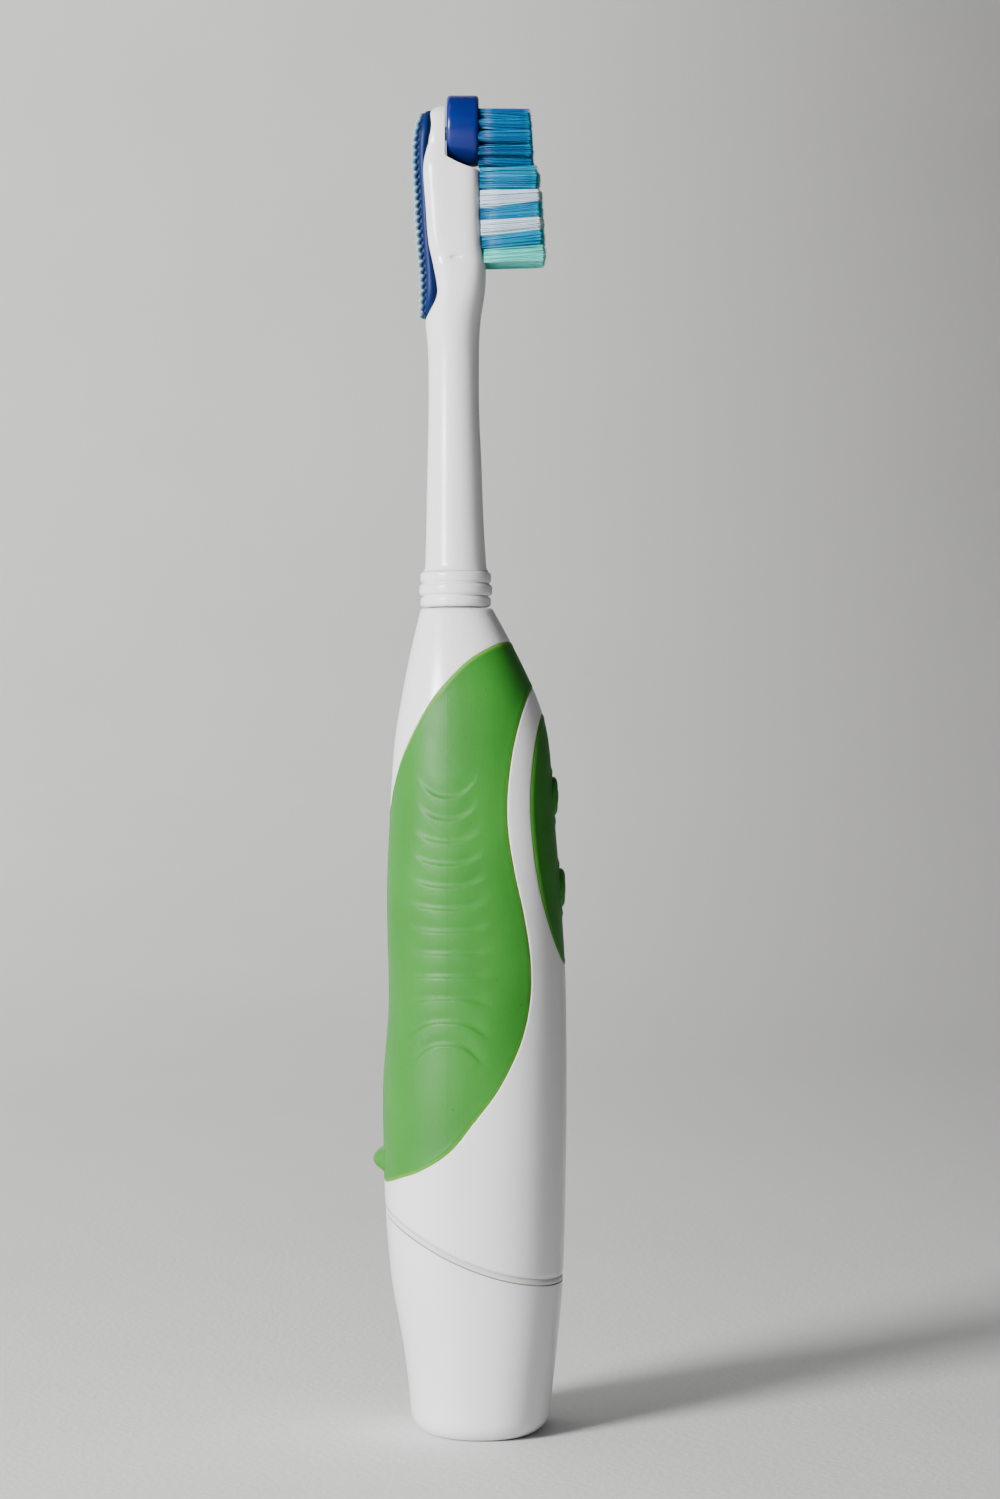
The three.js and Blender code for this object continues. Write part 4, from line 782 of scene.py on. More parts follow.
# Two curved tongues stand up inside the handle, one in front and one behind.
TONGUE_FACES = (2.6, 3.9)   # how deep under the handle's form its outside and inside lie
TONGUE_HALF = 7.0
TONGUE_FOOT = 14.0
for side, middle_angle in (("front", -np.pi / 2), ("back", np.pi / 2)):
    across = np.linspace(-1, 1, 25)
    # the same oval at the tongue's height, walked over a short stretch each side of its middle
    turn = middle_angle + 0.36 * across
    pts = []
    tip = seam_at(handle_place(np.array([middle_angle]), np.array([30.0]))[0, 1]) + 3.8
    for deep, chamfer in zip(TONGUE_FACES, (0.35, -0.35)):
        for height, inset in ((TONGUE_FOOT, 0), (tip - 0.6, 0), (tip, chamfer)):
            z_line = np.full_like(turn, height)
            line = handle_place(turn, z_line) - form_normal(handle_place, turn, z_line) * (deep + inset)
            line[:, 0] = across * TONGUE_HALF
            pts.append(line)
    loop = np.concatenate([pts[0:3], pts[5:2:-1]])        # up the outside, down the inside
    n, m = loop.shape[:2]
    faces = loop_quads(n, m, m - 1) + [[i * m for i in range(n)], [i * m + m - 1 for i in range(n)][::-1]]
    tongue = outward(make_piece(f"cap_tongue_{side}", loop.reshape(-1, 3), faces, white_plastic))
    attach(tongue, "cap")

seal_ring, use = blank_material("cap seal", {"Roughness": 0.5})
use.colour(use.wander(use.noise(120, 3), (0.6, 0.59, 0.585), (0.66, 0.65, 0.645)))
use.bump(use.noise(1500, 2), 0.1)
ring_lift = np.array([-SEAM_BAND + 0.05, -SEAM_BAND + 0.05, -0.95, -0.7, -0.45, -0.05, -0.05])
ring_depth = np.array([1.4, 0.3, 0.08, 0.03, 0.08, 0.3, 1.4])
pts = []
for lift, deep in zip(ring_lift, ring_depth):
    z_line = seam_height(angles, lift)
    pts.append(handle_place(angles, z_line) - form_normal(handle_place, angles, z_line) * deep)
faces = loop_quads(len(ring_lift), len(angles), len(angles))
ring = outward(make_piece("cap_seal_ring", np.concatenate(pts), faces, seal_ring))
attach(ring, "cap")
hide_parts("cap_gasket")


# ---- brush head shell
# White moulding that pushes onto the nose: a ringed collar, a slim neck, and a block for the fixed
# tufts whose top slants back under the turning disc to a rounded plate behind it.

HEAD_BASE = HANDLE_LENGTH + 0.3
HEAD_TOP = HANDLE_LENGTH + 89.2
DISC_Z = HEAD_TOP - 4.8
DISC_RADIUS = 6.27
DISC_FRONT, DISC_BACK = 0.35, 6.0
COLLAR_RADIUS = 6.45
COLLAR_HEIGHT = 6.3

# millimetres above the head's base: front y, back y, half width, squareness
HEAD_STATIONS = np.array([
    [7.3, -1.0, 9.8, 5.4, 2],
    [15.3, -0.5, 9.6, 5.0, 2],
    [25.3, -0.15, 9.4, 4.75, 2],
    [37, 0.3, 9.2, 4.5, 2],
    [45.5, 0.3, 9.3, 4.7, 2],
    [50.7, 0.0, 9.8, 5.3, 2.2],
    [56.5, -0.85, 8.7, 6.1, 2.8],
    [59.5, -0.95, 8.95, 6.4, 3.2],
    [64, -0.3, 9.7, 6.4, 3.8],
    [70.6, -0.05, 10.1, 6.4, 4.2],
    [77.4, 0.1, 10.5, 6.42, 4.4],
    [78.6, 0.2, 10.35, 6.05, 4.4],
    [81.2, 0.7, 10.0, 5.5, 4.2],
])
TIP_START = 81.2
TIP_LENGTH = HEAD_TOP - 0.3 - HEAD_BASE - TIP_START
head_curves = [smooth_curve(HEAD_STATIONS[:, 0], HEAD_STATIONS[:, c], 1.0) for c in (1, 2, 3, 4)]


def head_section(z):
    """Front y, back y, half width and squareness of the head at height z: the station curves,
    closing over the tip as an ellipse."""
    up = z - HEAD_BASE
    front, back, half, power = (curve(np.minimum(up, TIP_START)) for curve in head_curves)
    over = np.clip((up - TIP_START) / TIP_LENGTH, 0, 1)
    closing = np.sqrt(np.clip(1 - over**2.2, 0, 1))
    pinch = np.sqrt(np.clip(1 - over**6, 0, 1))
    middle = (front + back) / 2 + 0.8
    front = middle + (front - middle) * pinch
    back = middle + (back - 0.7 * over - middle) * pinch
    return front, back, half * np.maximum(closing, 0.02), power


def head_place(angle, z):
    """Point on the neck and head: an oval of the section at z, with its own squareness."""
    front, back, half, power = head_section(z)
    across, along = oval(angle, power)
    return np.stack([half * across, (front + back) / 2 + (back - front) / 2 * along, z + 0 * angle], -1)


# Rows follow the neck and block up to the tip, closer together where the section changes fast.
PLATE_FRONT = DISC_BACK + 0.3
SEAT_Z = DISC_Z - 7.6
SEAT_SLOPE = 0.41
rise = np.concatenate([
    np.linspace(COLLAR_HEIGHT + 0.02, 44, 60), np.linspace(45, 59.6, 30), np.linspace(59.75, 62.6, 24),
    np.linspace(63, 73, 21)[:-1],
    np.linspace(73, TIP_START, 60)[:-1], TIP_START + TIP_LENGTH * np.sin(np.linspace(0, np.pi / 2, 34)),
])
count = 128
angles = even_angles(count, 6.4, 5, 3)
z = np.broadcast_to((HEAD_BASE + rise)[:, None], (len(rise), count)).copy()
angle = np.broadcast_to(angles, z.shape)
points = head_place(angle, z)
# flare of the neck's foot into the collar
flare = np.clip(1 - (z - HEAD_BASE - COLLAR_HEIGHT) / 0.9, 0, 1)[..., None]
outwards = points - [0, NECK_Y, 0]
outwards[..., 2] = 0
points += outwards * 0.07 * flare**2
CREASE_Z = 206.0
# a faint crease crosses each side where the block begins, with the short notch of a mould gate in it
flank = np.clip(np.abs(points[..., 0]) / 5.4, 0, 1) ** 8
crease = 0.2 * np.exp(-((z - CREASE_Z) / 0.9) ** 2)
notch = np.exp(-((z - CREASE_Z + 0.2) / 0.28) ** 2) * np.exp(-((points[..., 1] - NECK_Y) / 0.85) ** 4)
crease += 0.5 * notch
points[..., 0] -= np.sign(points[..., 0]) * crease * flank
loops = points.reshape(-1, 3)
# a fan closes the tip, and a flat one the bottom, which the bore is cut through
tip, foot = len(loops), len(loops) + 1
tri = np.concatenate([
    grid_triangles(len(rise), count), disc_cap(count, tip, (len(rise) - 1) * count)[:, [0, 2, 1]],
    disc_cap(count, foot, 0)[:, [2, 0, 1]],
])
loops = np.concatenate([loops, [loops[-count:].mean(0), [0, NECK_Y, HEAD_BASE + COLLAR_HEIGHT + 0.02]]])
head = make_piece("head_shell_body", loops, tri, white_plastic)


def cut_away(piece, tool):
    """Takes the tool's space out of the piece for good, and removes the tool."""
    cut = piece.modifiers.new("cut", "BOOLEAN")
    cut.operation = "DIFFERENCE"
    cut.solver = "EXACT"
    cut.object = tool
    bpy.context.view_layer.update()
    shape = bpy.data.meshes.new_from_object(piece.evaluated_get(bpy.context.evaluated_depsgraph_get()))
    piece.modifiers.clear()
    old = piece.data
    piece.data = shape
    bpy.data.meshes.remove(old)
    bpy.data.objects.remove(tool)


# the seat: a slanting, slightly hollow surface under the disc, and a flat one behind it
CUT_FRONT = -8.0
seat_line = [(CUT_FRONT, SEAT_Z + SEAT_SLOPE * (CUT_FRONT - DISC_FRONT))]
for y_seat in np.linspace(-1.5, PLATE_FRONT, 14):
    hollow = 0.35 * np.sin(np.pi * np.clip((y_seat - DISC_FRONT) / (PLATE_FRONT - DISC_FRONT), 0, 1))
    seat_line.append((y_seat, SEAT_Z + SEAT_SLOPE * (y_seat - DISC_FRONT) - hollow))
outline = seat_line + [(PLATE_FRONT, HEAD_TOP + 4), (CUT_FRONT, HEAD_TOP + 4)]
n = len(outline)
pts = [(x, *p) for x in (-9, 9) for p in outline]
faces = [list(range(n)), list(range(n, 2 * n))] + [[k, (k + 1) % n, n + (k + 1) % n, n + k] for k in range(n)]
cut_away(head, outward(make_piece("seat_cutter", pts, faces, white_plastic, smooth=False)))
round_cut, bore, rod_bore = DISC_RADIUS + 0.25, NOSE_RADIUS + 0.3, 2.9
disc_room = [(0, CUT_FRONT), (round_cut, CUT_FRONT), (round_cut, PLATE_FRONT), (0, PLATE_FRONT)]
cut_away(head, outward(turned_piece("disc_cutter", disc_room, (0, 0, DISC_Z), "y", white_plastic, 96)))
nose_room = [(0, HEAD_BASE - 2), (bore, HEAD_BASE - 2), (bore, NOSE_TOP + 1), (rod_bore, NOSE_TOP + 1.2),
             (rod_bore, HEAD_BASE + 29), (0, HEAD_BASE + 29)]
cut_away(head, outward(turned_piece("bore_cutter", nose_room, (0, NECK_Y, 0), "z", white_plastic, 64)))
edges = head.modifiers.new("soft edges", "BEVEL")
edges.width = 0.22 * MM
edges.segments = 3
edges.limit_method = "ANGLE"
edges.angle_limit = math.radians(38)
edges.harden_normals = False
head.data.polygons.foreach_set("use_smooth", np.ones(len(head.data.polygons), bool))
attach(head, "brush_head")
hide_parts("head_shell")

# The collar is turned: three rounded rings, the middle one the largest, with a fine groove between them.
RING_BULGE = 0.6
ring_step = np.linspace(0, 1, 11)
profile = [(NOSE_RADIUS + 0.32, HEAD_BASE + 0.05)]
for low, high, radius in (
    (0, 1.95, COLLAR_RADIUS - 0.22), (1.95, 4.15, COLLAR_RADIUS), (4.15, COLLAR_HEIGHT, COLLAR_RADIUS - 0.2),
):
    bulge = radius - RING_BULGE * np.abs(2 * ring_step - 1) ** 5
    inside_ends = slice(0 if low == 0 else 1, None)
    profile += list(zip(bulge[inside_ends], (HEAD_BASE + low + (high - low) * ring_step)[inside_ends]))
profile.append((NOSE_RADIUS + 0.32, HEAD_BASE + COLLAR_HEIGHT))
collar = outward(turned_piece("head_collar", profile, (0, NECK_Y, 0), "z", white_plastic, 96))
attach(collar, "brush_head")


# ---- turning disc
# Deep blue gloss disc with rounded edges that carries five rows of tufts and rocks to and fro on a
# pin behind it. Moulded in one piece with its tuft holes.

blue_plastic, use = blank_material("blue disc plastic", {"IOR": 1.5, "Specular IOR Level": 0.4})
use.colour(use.wander(use.noise(200, 3), (0.0003, 0.008, 0.11), (0.0005, 0.012, 0.145)))
use.rough(use.noise(400, 3), 0.2, 0.3)
use.bump(use.noise(1200, 2), 0.06)

# its two rounded edges: how far in from the rim, how far from the face
edge_curve = [(0.8, 0.0), (0.45, 0.05), (0.17, 0.22), (0.03, 0.55), (0.0, 1.0)]
back_curve = [(0.8, 0.0), (0.42, 0.05), (0.14, 0.25), (0.02, 0.6), (0.0, 1.0)]
profile = [(0, DISC_BACK)] + [(DISC_RADIUS - inwards, DISC_BACK - deep) for inwards, deep in back_curve]
profile += [(DISC_RADIUS - inwards, DISC_FRONT + deep) for inwards, deep in edge_curve[::-1]]
profile.append((0, DISC_FRONT))
disc = outward(turned_piece("disc_body", profile, (0, 0, DISC_Z), "y", blue_plastic, 96))
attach(disc, "disc")
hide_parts("head_disc")


# ---- bristles
# Each tuft is a bundle of end-rounded nylon filaments stapled into a round hole. A filament is a
# thin tapering stem that leans and splays a little, so a row looks combed and its tips uneven.


def bristle_material(name, root, body, tip):
    """Nylon coloured darker towards the filaments' roots as painted shade where they crowd together, and pale
    and glassy at the tips.
    """
    material, use = blank_material(name, {
        "IOR": 1.53, "Specular IOR Level": 0.25, **skin_depth(0.15, (0.0004, 0.0004, 0.0004)),
    })
    # the root colour is painted shade between the filaments
    colour = use.ramp(use.attribute("along"), [(0.0, root), (0.28, body), (0.86, body), (1.0, tip)])
    use.colour(use.mix(use.attribute("shade"), colour, tip))
    use.rough(use.noise(900, 2), 0.25, 0.42)
    return material


# first colour of each: the painted shade at the tufts' roots
bristle_blue = bristle_material("blue bristles", (0.0, 0.016, 0.08), (0.0, 0.078, 0.23), (0.005, 0.23, 0.43))
bristle_teal = bristle_material("teal bristles", (0.0, 0.035, 0.12), (0.0, 0.165, 0.34), (0.008, 0.35, 0.53))
bristle_white = bristle_material("white bristles", (0.36, 0.5, 0.6), (0.45, 0.6, 0.7), (0.68, 0.79, 0.86))
bristle_mint = bristle_material("mint bristles", (0.01, 0.32, 0.26), (0.035, 0.49, 0.43), (0.2, 0.73, 0.66))


FILAMENT_RADIUS = 0.095


def tuft_field(name, holes, tip_middle, root_size, tip_size, per_tuft, material, seed, lean=0.0):
    """Filaments of many tufts in one mesh. A filament keeps its place in the tuft's oval from the hole's
    half sizes to the tips' half sizes, bent by a parabola; five-sided rings stand round it and a point
    closes it."""
    r = np.random.default_rng(seed)
    holes, tip_middle = np.asarray(holes, float), np.asarray(tip_middle, float)
    n = len(holes) * per_tuft
    tuft = np.repeat(np.arange(len(holes)), per_tuft)
    ring_r = np.sqrt(r.uniform(0, 1, n))
    ring_a = r.uniform(0, 2 * np.pi, n)
    place = np.stack([ring_r * np.cos(ring_a), np.zeros(n), ring_r * np.sin(ring_a)], 1)
    root_place = place * [root_size[0], 0, root_size[1]]
    tip_place = place * [tip_size[0], 0, tip_size[1]]
    root = holes[tuft] + root_place
    splay = tip_place - root_place + r.normal(0, 0.06, (n, 3))
    if lean:
        splay[:, 0] += lean * r.choice([-1, 1], n)
        splay[:, 2] += lean * 0.4 * r.choice([-1, 1], n)
    tip = tip_middle[tuft] + root_place + splay
    tip[:, 1] += r.normal(0, 0.12, n) + 0.12 * ring_r**2
    steps = np.array([0.0, 0.35, 0.75, 0.95, 1.0])
    thick = np.array([1.0, 1.0, 0.95, 0.75, 0.0]) * FILAMENT_RADIUS
    bend = r.normal(0, 0.07, (n, 3)) + splay * 0.12
    bend[:, 1] = 0
    t = steps[None, :, None]
    axis = root[:, None] * (1 - t) + tip[:, None] * t - bend[:, None] * 4 * t * (1 - t)
    sides = 5
    turn = np.linspace(0, 2 * np.pi, sides, endpoint=False)
    circle = np.stack([np.cos(turn), 0 * turn, np.sin(turn)], 1)
    rings = axis[:, :-1, None] + circle * thick[:-1, None, None]
    points = np.concatenate([rings.reshape(n, -1, 3), axis[:, -1:], axis[:, :1]], 1)
    each = points.shape[1]
    pattern = []
    levels = len(steps) - 1
    for level in range(levels - 1):
        for k in range(sides):
            a, b = level * sides + k, level * sides + (k + 1) % sides
            pattern += [[a, b, b + sides], [a, b + sides, a + sides]]
    top = (levels - 1) * sides
    for k in range(sides):
        pattern += [[top + k, top + (k + 1) % sides, each - 2], [(k + 1) % sides, k, each - 1]]
    faces = (np.arange(n)[:, None, None] * each + np.array(pattern)).reshape(-1, 3)
    piece = make_piece(name, points.reshape(-1, 3), faces, material)
    along = np.concatenate([np.repeat(steps[:-1], sides), [1.0, 0.0]])
    set_field(piece, "along", np.tile(along, n))
    set_field(piece, "shade", np.repeat(r.uniform(0, 1, n) ** 3 * 0.75, each))
    return outward(piece)


def row_holes(x_places, y_root, z_root, y_tip, z_tip):
    """Hole centres and tip centres of one row of tufts across the head."""
    x = np.asarray(x_places, float)
    holes = np.stack([x, np.full_like(x, y_root), np.full_like(x, z_root)], 1)
    tips = np.stack([x * 1.02, np.full_like(x, y_tip), np.full_like(x, z_tip)], 1)
    return holes, tips


# Five rows on the disc: height above its centre, tips' height, tuft centres across it, reach of the tips.
seven_across = [-4.9, -3.2, -1.6, 0, 1.6, 3.2, 4.9]
disc_rows = [
    row_holes(across, DISC_FRONT + 0.1, DISC_Z + up, DISC_FRONT - reach, DISC_Z + tip_up)
    for up, tip_up, across, reach in (
        (2.45, 1.95, [-4.1, -2.4, -0.8, 0.8, 2.4, 4.1], 9.15), (0.6, 0.2, seven_across, 9.3),
        (-1.65, -1.7, seven_across, 9.45), (-3.8, -3.7, [-3.8, -2.3, -0.8, 0.8, 2.3, 3.8], 9.6),
        (-5.35, -5.75, [-1.8, -0.6, 0.6, 1.8], 9.7),
    )
]
disc_holes, disc_tips = (np.concatenate(part) for part in zip(*disc_rows))
disc_tufts = tuft_field("disc_tufts", disc_holes, disc_tips, (0.85, 0.88), (1.0, 1.2), 82, bristle_blue, 3)
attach(disc_tufts, "disc")
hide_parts("disc_bristles")

# Six fixed rows stand below it: name, root and tip heights, tip y, half width, half heights at root
# and tip, material, lean. The rows' middle tufts are mint and stand out a little, and belong to the last.
middle_holes, middle_tips = [], []
for k, (name, z_root, z_tip, y_tip, half, root_tall, tip_tall, material, lean) in enumerate((
    ("teal_tufts_upper", 219.8, 220.0, -10.1, 4.6, 1.9, 2.15, bristle_teal, 0.03),
    ("white_tufts_upper", 216.1, 216.75, -10.5, 4.6, 1.55, 1.05, bristle_white, 0.03),
    ("teal_tufts_middle", 213.4, 214.35, -10.6, 4.5, 1.0, 1.4, bristle_teal, 0.03),
    ("white_tufts_lower", 211.1, 212.0, -10.8, 4.5, 1.35, 1.05, bristle_white, 0.03),
    ("teal_tufts_lower", 208.6, 209.65, -10.95, 4.3, 1.2, 1.4, bristle_teal, 0.03),
    ("mint_tufts", 206.2, 206.75, -11.4, 4.0, 1.2, 1.35, bristle_mint, 0.3),
)):
    y_root = float(head_section(np.array([z_root]))[0][0]) + 0.15
    holes, tips = row_holes(np.linspace(-half, half, 6), y_root, z_root, y_tip, z_tip)
    if name == "mint_tufts":
        holes, tips = np.concatenate([holes] + middle_holes), np.concatenate([tips] + middle_tips)
    else:
        middle_holes.append(holes[2:4])
        middle_tips.append(tips[2:4] + [0, -0.45, 0])
        holes, tips = holes[[0, 1, 4, 5]], tips[[0, 1, 4, 5]]
    tufts = tuft_field(f"{name}_filaments", holes, tips, (0.95, root_tall), (1.05, tip_tall), 125,
                       material, 11 + k, lean)
    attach(tufts, "brush_head")
    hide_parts(name)


# ---- tongue cleaner
# Navy rubber pad moulded onto the back of the head, set with rows of fine soft nubs; their thin tips
# are painted pale teal, a painted highlight where they catch the light.

cleaner_pad, use = blank_material("tongue cleaner rubber", {
    "Specular IOR Level": 0.16, **skin_depth(0.04, (0.0003, 0.0006, 0.0009)),
})
navy = use.wander(use.noise(160, 3), (0.0002, 0.008, 0.065), (0.0004, 0.013, 0.09))
# painted highlight: the pale teal that the nubs' tips are coloured towards
nub_tip_highlight = use.wander(use.noise(500, 3), (0.12, 0.42, 0.52), (0.48, 0.72, 0.78))
use.colour(use.mix(use.attribute("nub"), navy, nub_tip_highlight))
use.rough(use.noise(500, 3), 0.38, 0.55)
use.bump(use.noise(2200, 2), 0.1)

# the pad's outer face: height, y
PAD_OUTER = np.array([[195.4, 10.0], [202, 9.9], [207, 10.3], [212, 10.7], [218, 10.95], [223, 11.25],
                      [227, 11.2], [230.2, 10.6], [232.4, 9.6]])
PAD_HALF = 4.9
pad_outer = smooth_curve(PAD_OUTER[:, 0], PAD_OUTER[:, 1], 1.2)


def pad_half_width(z):
    """Half width of the pad: straight sides, and a half circle at each end."""
    over = np.maximum(np.maximum(PAD_LOW + PAD_HALF - z, z - PAD_HIGH + PAD_HALF), 0)
    return np.sqrt(np.clip(PAD_HALF**2 - over**2, 0, None))


PAD_LOW, PAD_HIGH = PAD_OUTER[0, 0], PAD_OUTER[-1, 0]
PAD_EDGE = 0.7
z_rows = PAD_LOW + (PAD_HIGH - PAD_LOW) * (1 - np.cos(np.linspace(0.06, np.pi - 0.06, 90))) / 2
half_width = pad_half_width(z_rows)[:, None]
x = np.linspace(-1, 1, 41) * half_width
zz = np.broadcast_to(z_rows[:, None], x.shape)
edge_round = np.clip((np.abs(x) - half_width + PAD_EDGE) / PAD_EDGE, 0, 1)
end_round = np.clip(1 - np.minimum(z_rows - PAD_LOW, PAD_HIGH - z_rows) / PAD_EDGE, 0, 1)[:, None]
round_off = np.maximum(edge_round, end_round)
crown = pad_outer(z_rows)[:, None] - 0.5 * (x / PAD_HALF) ** 2 - 0.6 * (1 - np.sqrt(1 - round_off**2 * 0.999))
front, back, wide, power = (part[:, None] for part in head_section(z_rows))
shell_back = (front + back) / 2 + (back - front) / 2 * np.clip(
    1 - (np.abs(x) / np.maximum(wide, 0.5)) ** power, 0.02, 1) ** (1 / power)
inner = np.minimum(shell_back + 0.12, crown - 0.15)
pts = np.concatenate([np.stack([x, y_face, zz], -1).reshape(-1, 3) for y_face in (crown, inner)])
# the outer face, the inner face behind it, and a strip round the border that joins them
corner = np.arange(x.size).reshape(x.shape)
quads = np.stack([corner[:-1, :-1], corner[1:, :-1], corner[1:, 1:], corner[:-1, 1:]], -1).reshape(-1, 4)
border = np.concatenate([corner[0], corner[1:, -1], corner[-1, -2::-1], corner[-2:0:-1, 0]])
beyond = np.roll(border, -1)
strip = np.stack([border, beyond, beyond + x.size, border + x.size], 1)
faces = np.concatenate([quads, quads[:, ::-1] + x.size, strip]).tolist()
pad = outward(make_piece("tongue_pad", pts, faces, cleaner_pad))
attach(pad, "brush_head")
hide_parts("tongue_cleaner")

# The nubs stand in staggered rows: small eight-sided cones with a round tip.
NUB_PITCH = 1.3
NUB_SPACING = NUB_PITCH * 0.86
NUB_RADIUS = 0.38
NUB_HEIGHT = 1.15
NUB_SIDES = 8
rng = np.random.default_rng(7)
nub_x, nub_z = [], []
for row, z_nub in enumerate(np.arange(PAD_LOW + 0.9, PAD_HIGH - 0.7, NUB_PITCH)):
    places = (np.arange(-8, 9) + 0.5 * (row % 2)) * NUB_SPACING
    places = places[np.abs(places) < pad_half_width(z_nub) - 0.45]
    nub_x.append(places)
    nub_z.append(np.full_like(places, z_nub))
nub_x, nub_z = np.concatenate(nub_x), np.concatenate(nub_z)
nub_x = nub_x + rng.normal(0, 0.03, len(nub_x))
nub_base = pad_outer(nub_z) - 0.5 * (nub_x / PAD_HALF) ** 2 - 0.12
rise = np.array([0.0, 0.45, 0.8])[:, None]
breadth = NUB_RADIUS * np.array([1.0, 0.82, 0.58])[:, None]
turn = np.linspace(0, 2 * np.pi, NUB_SIDES, endpoint=False)
rings = np.stack([
    nub_x[:, None, None] + breadth * np.cos(turn),
    nub_base[:, None, None] + NUB_HEIGHT * rise + 0 * turn,
    nub_z[:, None, None] - 0.1 * rise + breadth * np.sin(turn),
], -1)
ends = np.stack([
    np.stack([nub_x, nub_base + NUB_HEIGHT, nub_z - 0.1], -1), np.stack([nub_x, nub_base - 0.1, nub_z], -1),
], 1)
pts = np.concatenate([rings.reshape(len(nub_x), -1, 3), ends], 1)
each = pts.shape[1]
pattern = []
for k in range(NUB_SIDES):
    beside = (k + 1) % NUB_SIDES
    for low in (0, NUB_SIDES):
        high = low + NUB_SIDES
        pattern += [[low + k, high + beside, low + beside], [low + k, high + k, high + beside]]
    pattern += [[2 * NUB_SIDES + k, each - 2, 2 * NUB_SIDES + beside], [beside, each - 1, k]]
faces = (np.arange(len(nub_x))[:, None, None] * each + np.array(pattern)).reshape(-1, 3)
nubs = make_piece("tongue_pad_nubs", pts.reshape(-1, 3), faces, cleaner_pad)
# how much of the painted highlight each nub corner gets, most at the tip
set_field(nubs, "nub", np.tile(np.concatenate([np.repeat(rise[:, 0], NUB_SIDES) ** 3, [1.0, 0.0]]), len(nub_x)))
nubs = outward(nubs)
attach(nubs, "brush_head")


# ---- inner parts
# Cells, contacts, motor, gears, shaft, board and wires keep the shapes of the frame's nodes and
# get the finishes of the real ones: they show when the cap, cells or head come away.


def plain_finish(name, light, dark, rough, metal, scale, stretch, grain):
    """A finish whose colour and gloss vary a little: noise between two colours, and a fine bump."""
    material, use = blank_material(name, {"Metallic": metal})
    shade = use.noise(scale, 3, 0.5, stretch)
    use.colour(use.wander(shade, dark, light))
    use.rough(shade, rough * 0.8, rough * 1.2)
    use.bump(use.noise(scale * 6, 2, 0.5, stretch), grain)
    return material


FINISHES = {
    # name: light colour, dark colour, roughness, metal, noise scale, its stretch, grain
    "bright steel": ((0.68, 0.69, 0.71), (0.56, 0.57, 0.6), 0.26, 1.0, 300, (1, 1, 12), 0.08),
    "turned brass": ((0.76, 0.58, 0.27), (0.64, 0.47, 0.2), 0.3, 1.0, 260, (1, 1, 10), 0.08),
    "natural acetal": ((0.83, 0.81, 0.75), (0.76, 0.74, 0.68), 0.42, 0.0, 200, (1, 1, 1), 0.08),
    "dark moulding": ((0.06, 0.065, 0.075), (0.04, 0.044, 0.05), 0.5, 0.0, 300, (1, 1, 1), 0.2),
    "black rubber": ((0.028, 0.028, 0.03), (0.016, 0.016, 0.018), 0.6, 0.0, 400, (1, 1, 1), 0.25),
    "sintered magnet": ((0.085, 0.085, 0.09), (0.05, 0.05, 0.055), 0.55, 0.4, 900, (1, 1, 1), 0.3),
    "lacquered winding": ((0.5, 0.22, 0.09), (0.2, 0.09, 0.04), 0.35, 0.7, 500, (1, 1, 8), 0.6),
    "red wire sleeve": ((0.52, 0.045, 0.035), (0.42, 0.03, 0.025), 0.38, 0.0, 200, (1, 1, 1), 0.08),
    "black wire sleeve": ((0.04, 0.04, 0.042), (0.022, 0.022, 0.024), 0.38, 0.0, 200, (1, 1, 1), 0.08),
    "circuit board": ((0.03, 0.19, 0.08), (0.018, 0.12, 0.05), 0.3, 0.0, 500, (1, 1, 1), 0.08),
}
inner = {name: plain_finish(name, *values) for name, values in FINISHES.items()}

# A cell: a printed film sleeve in two plain bands, with bare metal at its ends.
cell_sleeve, use = blank_material("cell sleeve", {"Metallic": 0.6})
cell_low, cell_high = (corner.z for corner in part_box("cell_left"))
bare_metal = (0.7, 0.7, 0.72)
use.colour(use.ramp(use.share("Z", cell_low, cell_high), [
    (0.0, bare_metal), (0.025, (0.03, 0.03, 0.035)), (0.68, (0.6, 0.36, 0.06)), (0.97, bare_metal),
], "CONSTANT"))
use.rough(use.noise(300, 3), 0.22, 0.34)
use.bump(use.noise(700, 2), 0.05)

MADE_OF = {
    "bright steel": "contact_bridge cap_spring carrier_contact carrier_spring motor_can motor_shaft "
                    "gear_axle drive_shaft disc_pin link_rod",
    "turned brass": "motor_pinion lower_bushing upper_bushing",
    "natural acetal": "motor_end_cap crank_gear shaft_yoke rod_guide link_socket",
    "dark moulding": "contact_carrier chassis_frame on_switch off_switch",
    "black rubber": "shaft_seal nose_oring",
    "sintered magnet": "motor_magnet_left motor_magnet_right",
    "lacquered winding": "motor_armature",
    "red wire sleeve": "lead_wire_plus",
    "black wire sleeve": "lead_wire_minus",
    "circuit board": "switch_board",
    "cell sleeve": "cell_left cell_right",
}
inner["cell sleeve"] = cell_sleeve
for finish, node_names in MADE_OF.items():
    for node_name in node_names.split():
        node_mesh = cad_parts[node_name].data
        node_mesh.materials.clear()
        node_mesh.materials.append(inner[finish])
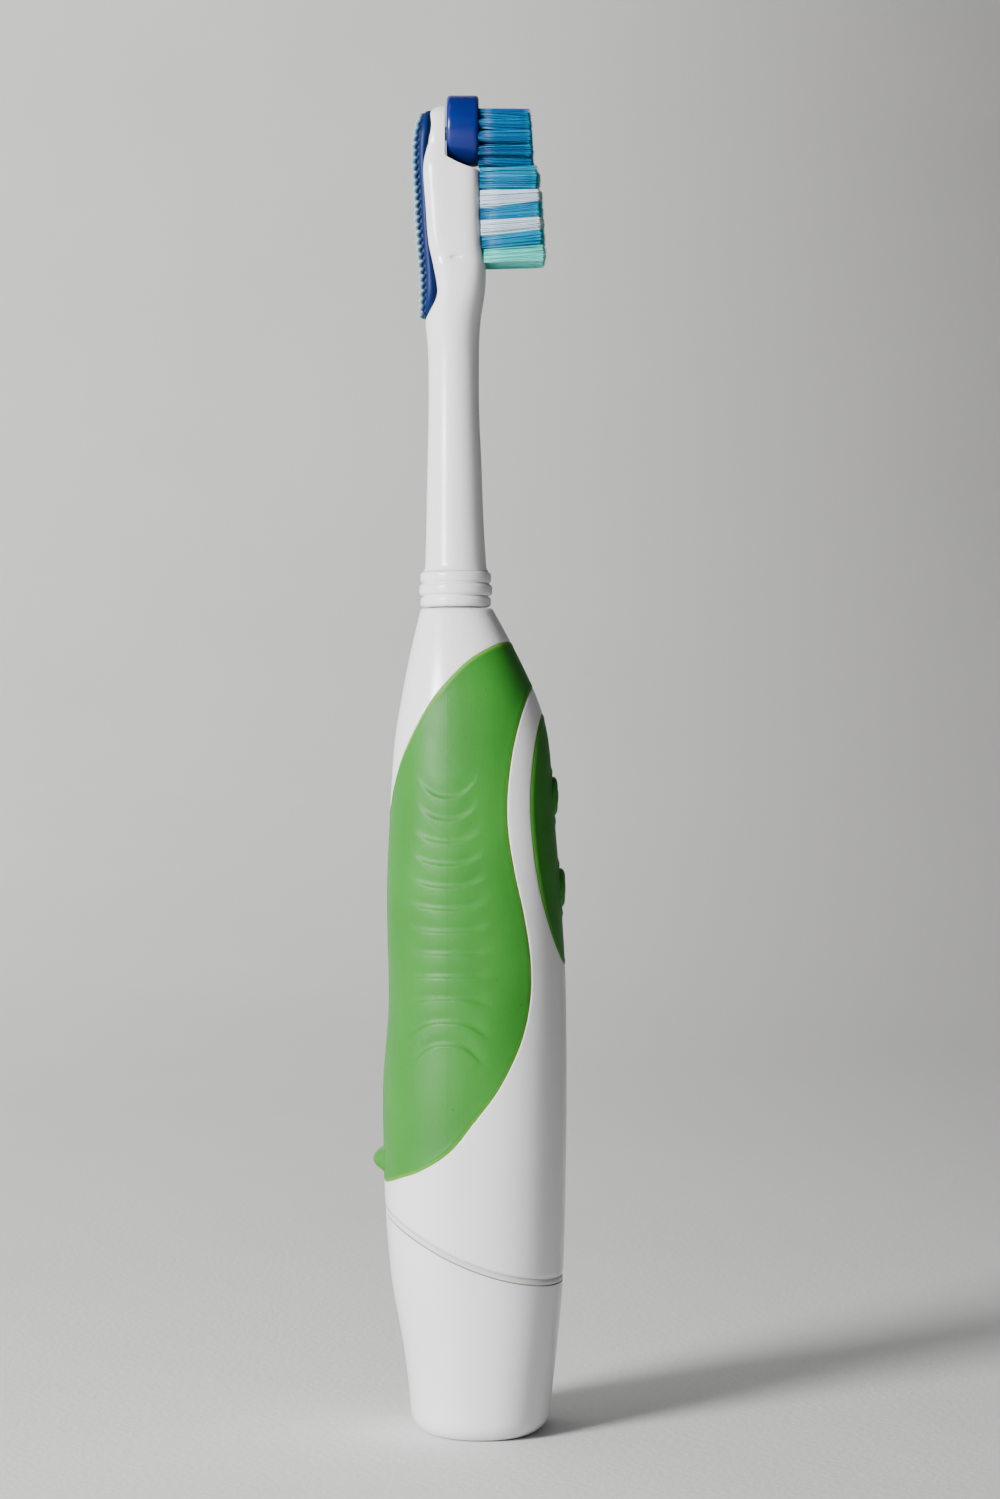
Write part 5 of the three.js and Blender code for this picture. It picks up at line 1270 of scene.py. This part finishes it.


# ---- stage
# A pale table top that curves up into a wall all round, its colour darkened towards -Y as painted shade, plain
# soft lights, and the camera.

STAGE_RADIUS = 2.0
STAGE_CORNER = 1.2
turn = np.linspace(0, 2 * np.pi, 96, endpoint=False)
bend_angle = np.linspace(0, np.pi / 2, 20)[1:]
flat_end = STAGE_RADIUS - STAGE_CORNER
radii = np.concatenate([
    [0.02, 0.3, 0.7, flat_end], flat_end + STAGE_CORNER * np.sin(bend_angle), [STAGE_RADIUS],
])
heights = np.concatenate([np.zeros(4), STAGE_CORNER * (1 - np.cos(bend_angle)), [2.6]])
pts = np.stack([radii[:, None] * np.cos(turn), radii[:, None] * np.sin(turn), heights[:, None] + 0 * turn], -1)
pts = np.concatenate([pts.reshape(-1, 3), [[0, 0, 0]]]) / MM
pts[:, 2] -= 0.02
rows, count = len(radii), len(turn)
tri = np.concatenate([grid_triangles(rows, count), disc_cap(count, rows * count, 0)])[:, ::-1]
paper, use = blank_material("pale backdrop", {"Roughness": 0.7})
# painted shade: the colour falls from pale behind the brush to near black towards -Y, the side away from the
# key light
backdrop_painted_shade = use.ramp(use.share("Y", -1.2, 0.8), [
    (0.0, (0.08, 0.08, 0.08)), (0.4, (0.28, 0.278, 0.276)), (0.6, (0.78, 0.777, 0.772)),
    (0.8, (0.9, 0.896, 0.89)),
])
mottle = use.wander(use.noise(6, 4), (0.05, 0.05, 0.05), (0.2, 0.2, 0.2))
use.colour(use.mix(mottle, backdrop_painted_shade, (0.55, 0.55, 0.545)))
use.bump(use.noise(700, 3), 0.1, 0.001)
backdrop = make_piece("backdrop", pts, tri, paper)

# Lights: name, place, what it points at, size, power, colour
middle = (0, 0, 0.115)
for name, place, aim, size, power, colour in (
    ("key", (-0.86, 0.86, 0.5), middle, 0.4, 39.0, (1.0, 0.99, 0.975)),
    ("top", (-0.25, 0.6, 1.3), middle, 0.8, 2.0, (0.98, 0.985, 1.0)),
    ("wall", (0.7, 0.7, 1.2), (2.0, 0.45, 0.35), 0.8, 11.0, (1.0, 0.99, 0.98)),
):
    lamp = bpy.data.lights.new(name, "AREA")
    lamp.shape = "DISK"
    lamp.size = size
    lamp.energy = power
    lamp.color = colour
    light = bpy.data.objects.new(name, lamp)
    light.location = place
    light.rotation_euler = (Vector(aim) - Vector(place)).to_track_quat("-Z", "Y").to_euler()
    light.visible_camera = False
    bpy.context.scene.collection.objects.link(light)
world = bpy.data.worlds.new("room")
world.use_nodes = True
sky = world.node_tree.nodes["Background"].inputs
sky["Color"].default_value = (0.93, 0.95, 1.0, 1)
sky["Strength"].default_value = 0.12
bpy.context.scene.world = world

camera_data = bpy.data.cameras.new("camera")
camera_data.sensor_fit = "VERTICAL"
camera_data.sensor_height = 36.0
camera_data.lens = 84.0
camera = bpy.data.objects.new("camera", camera_data)
camera.location = (-0.618, -0.0034, 0.1196)
camera.rotation_euler = (math.radians(90), 0, math.radians(-90))
bpy.context.scene.collection.objects.link(camera)
bpy.context.scene.camera = camera
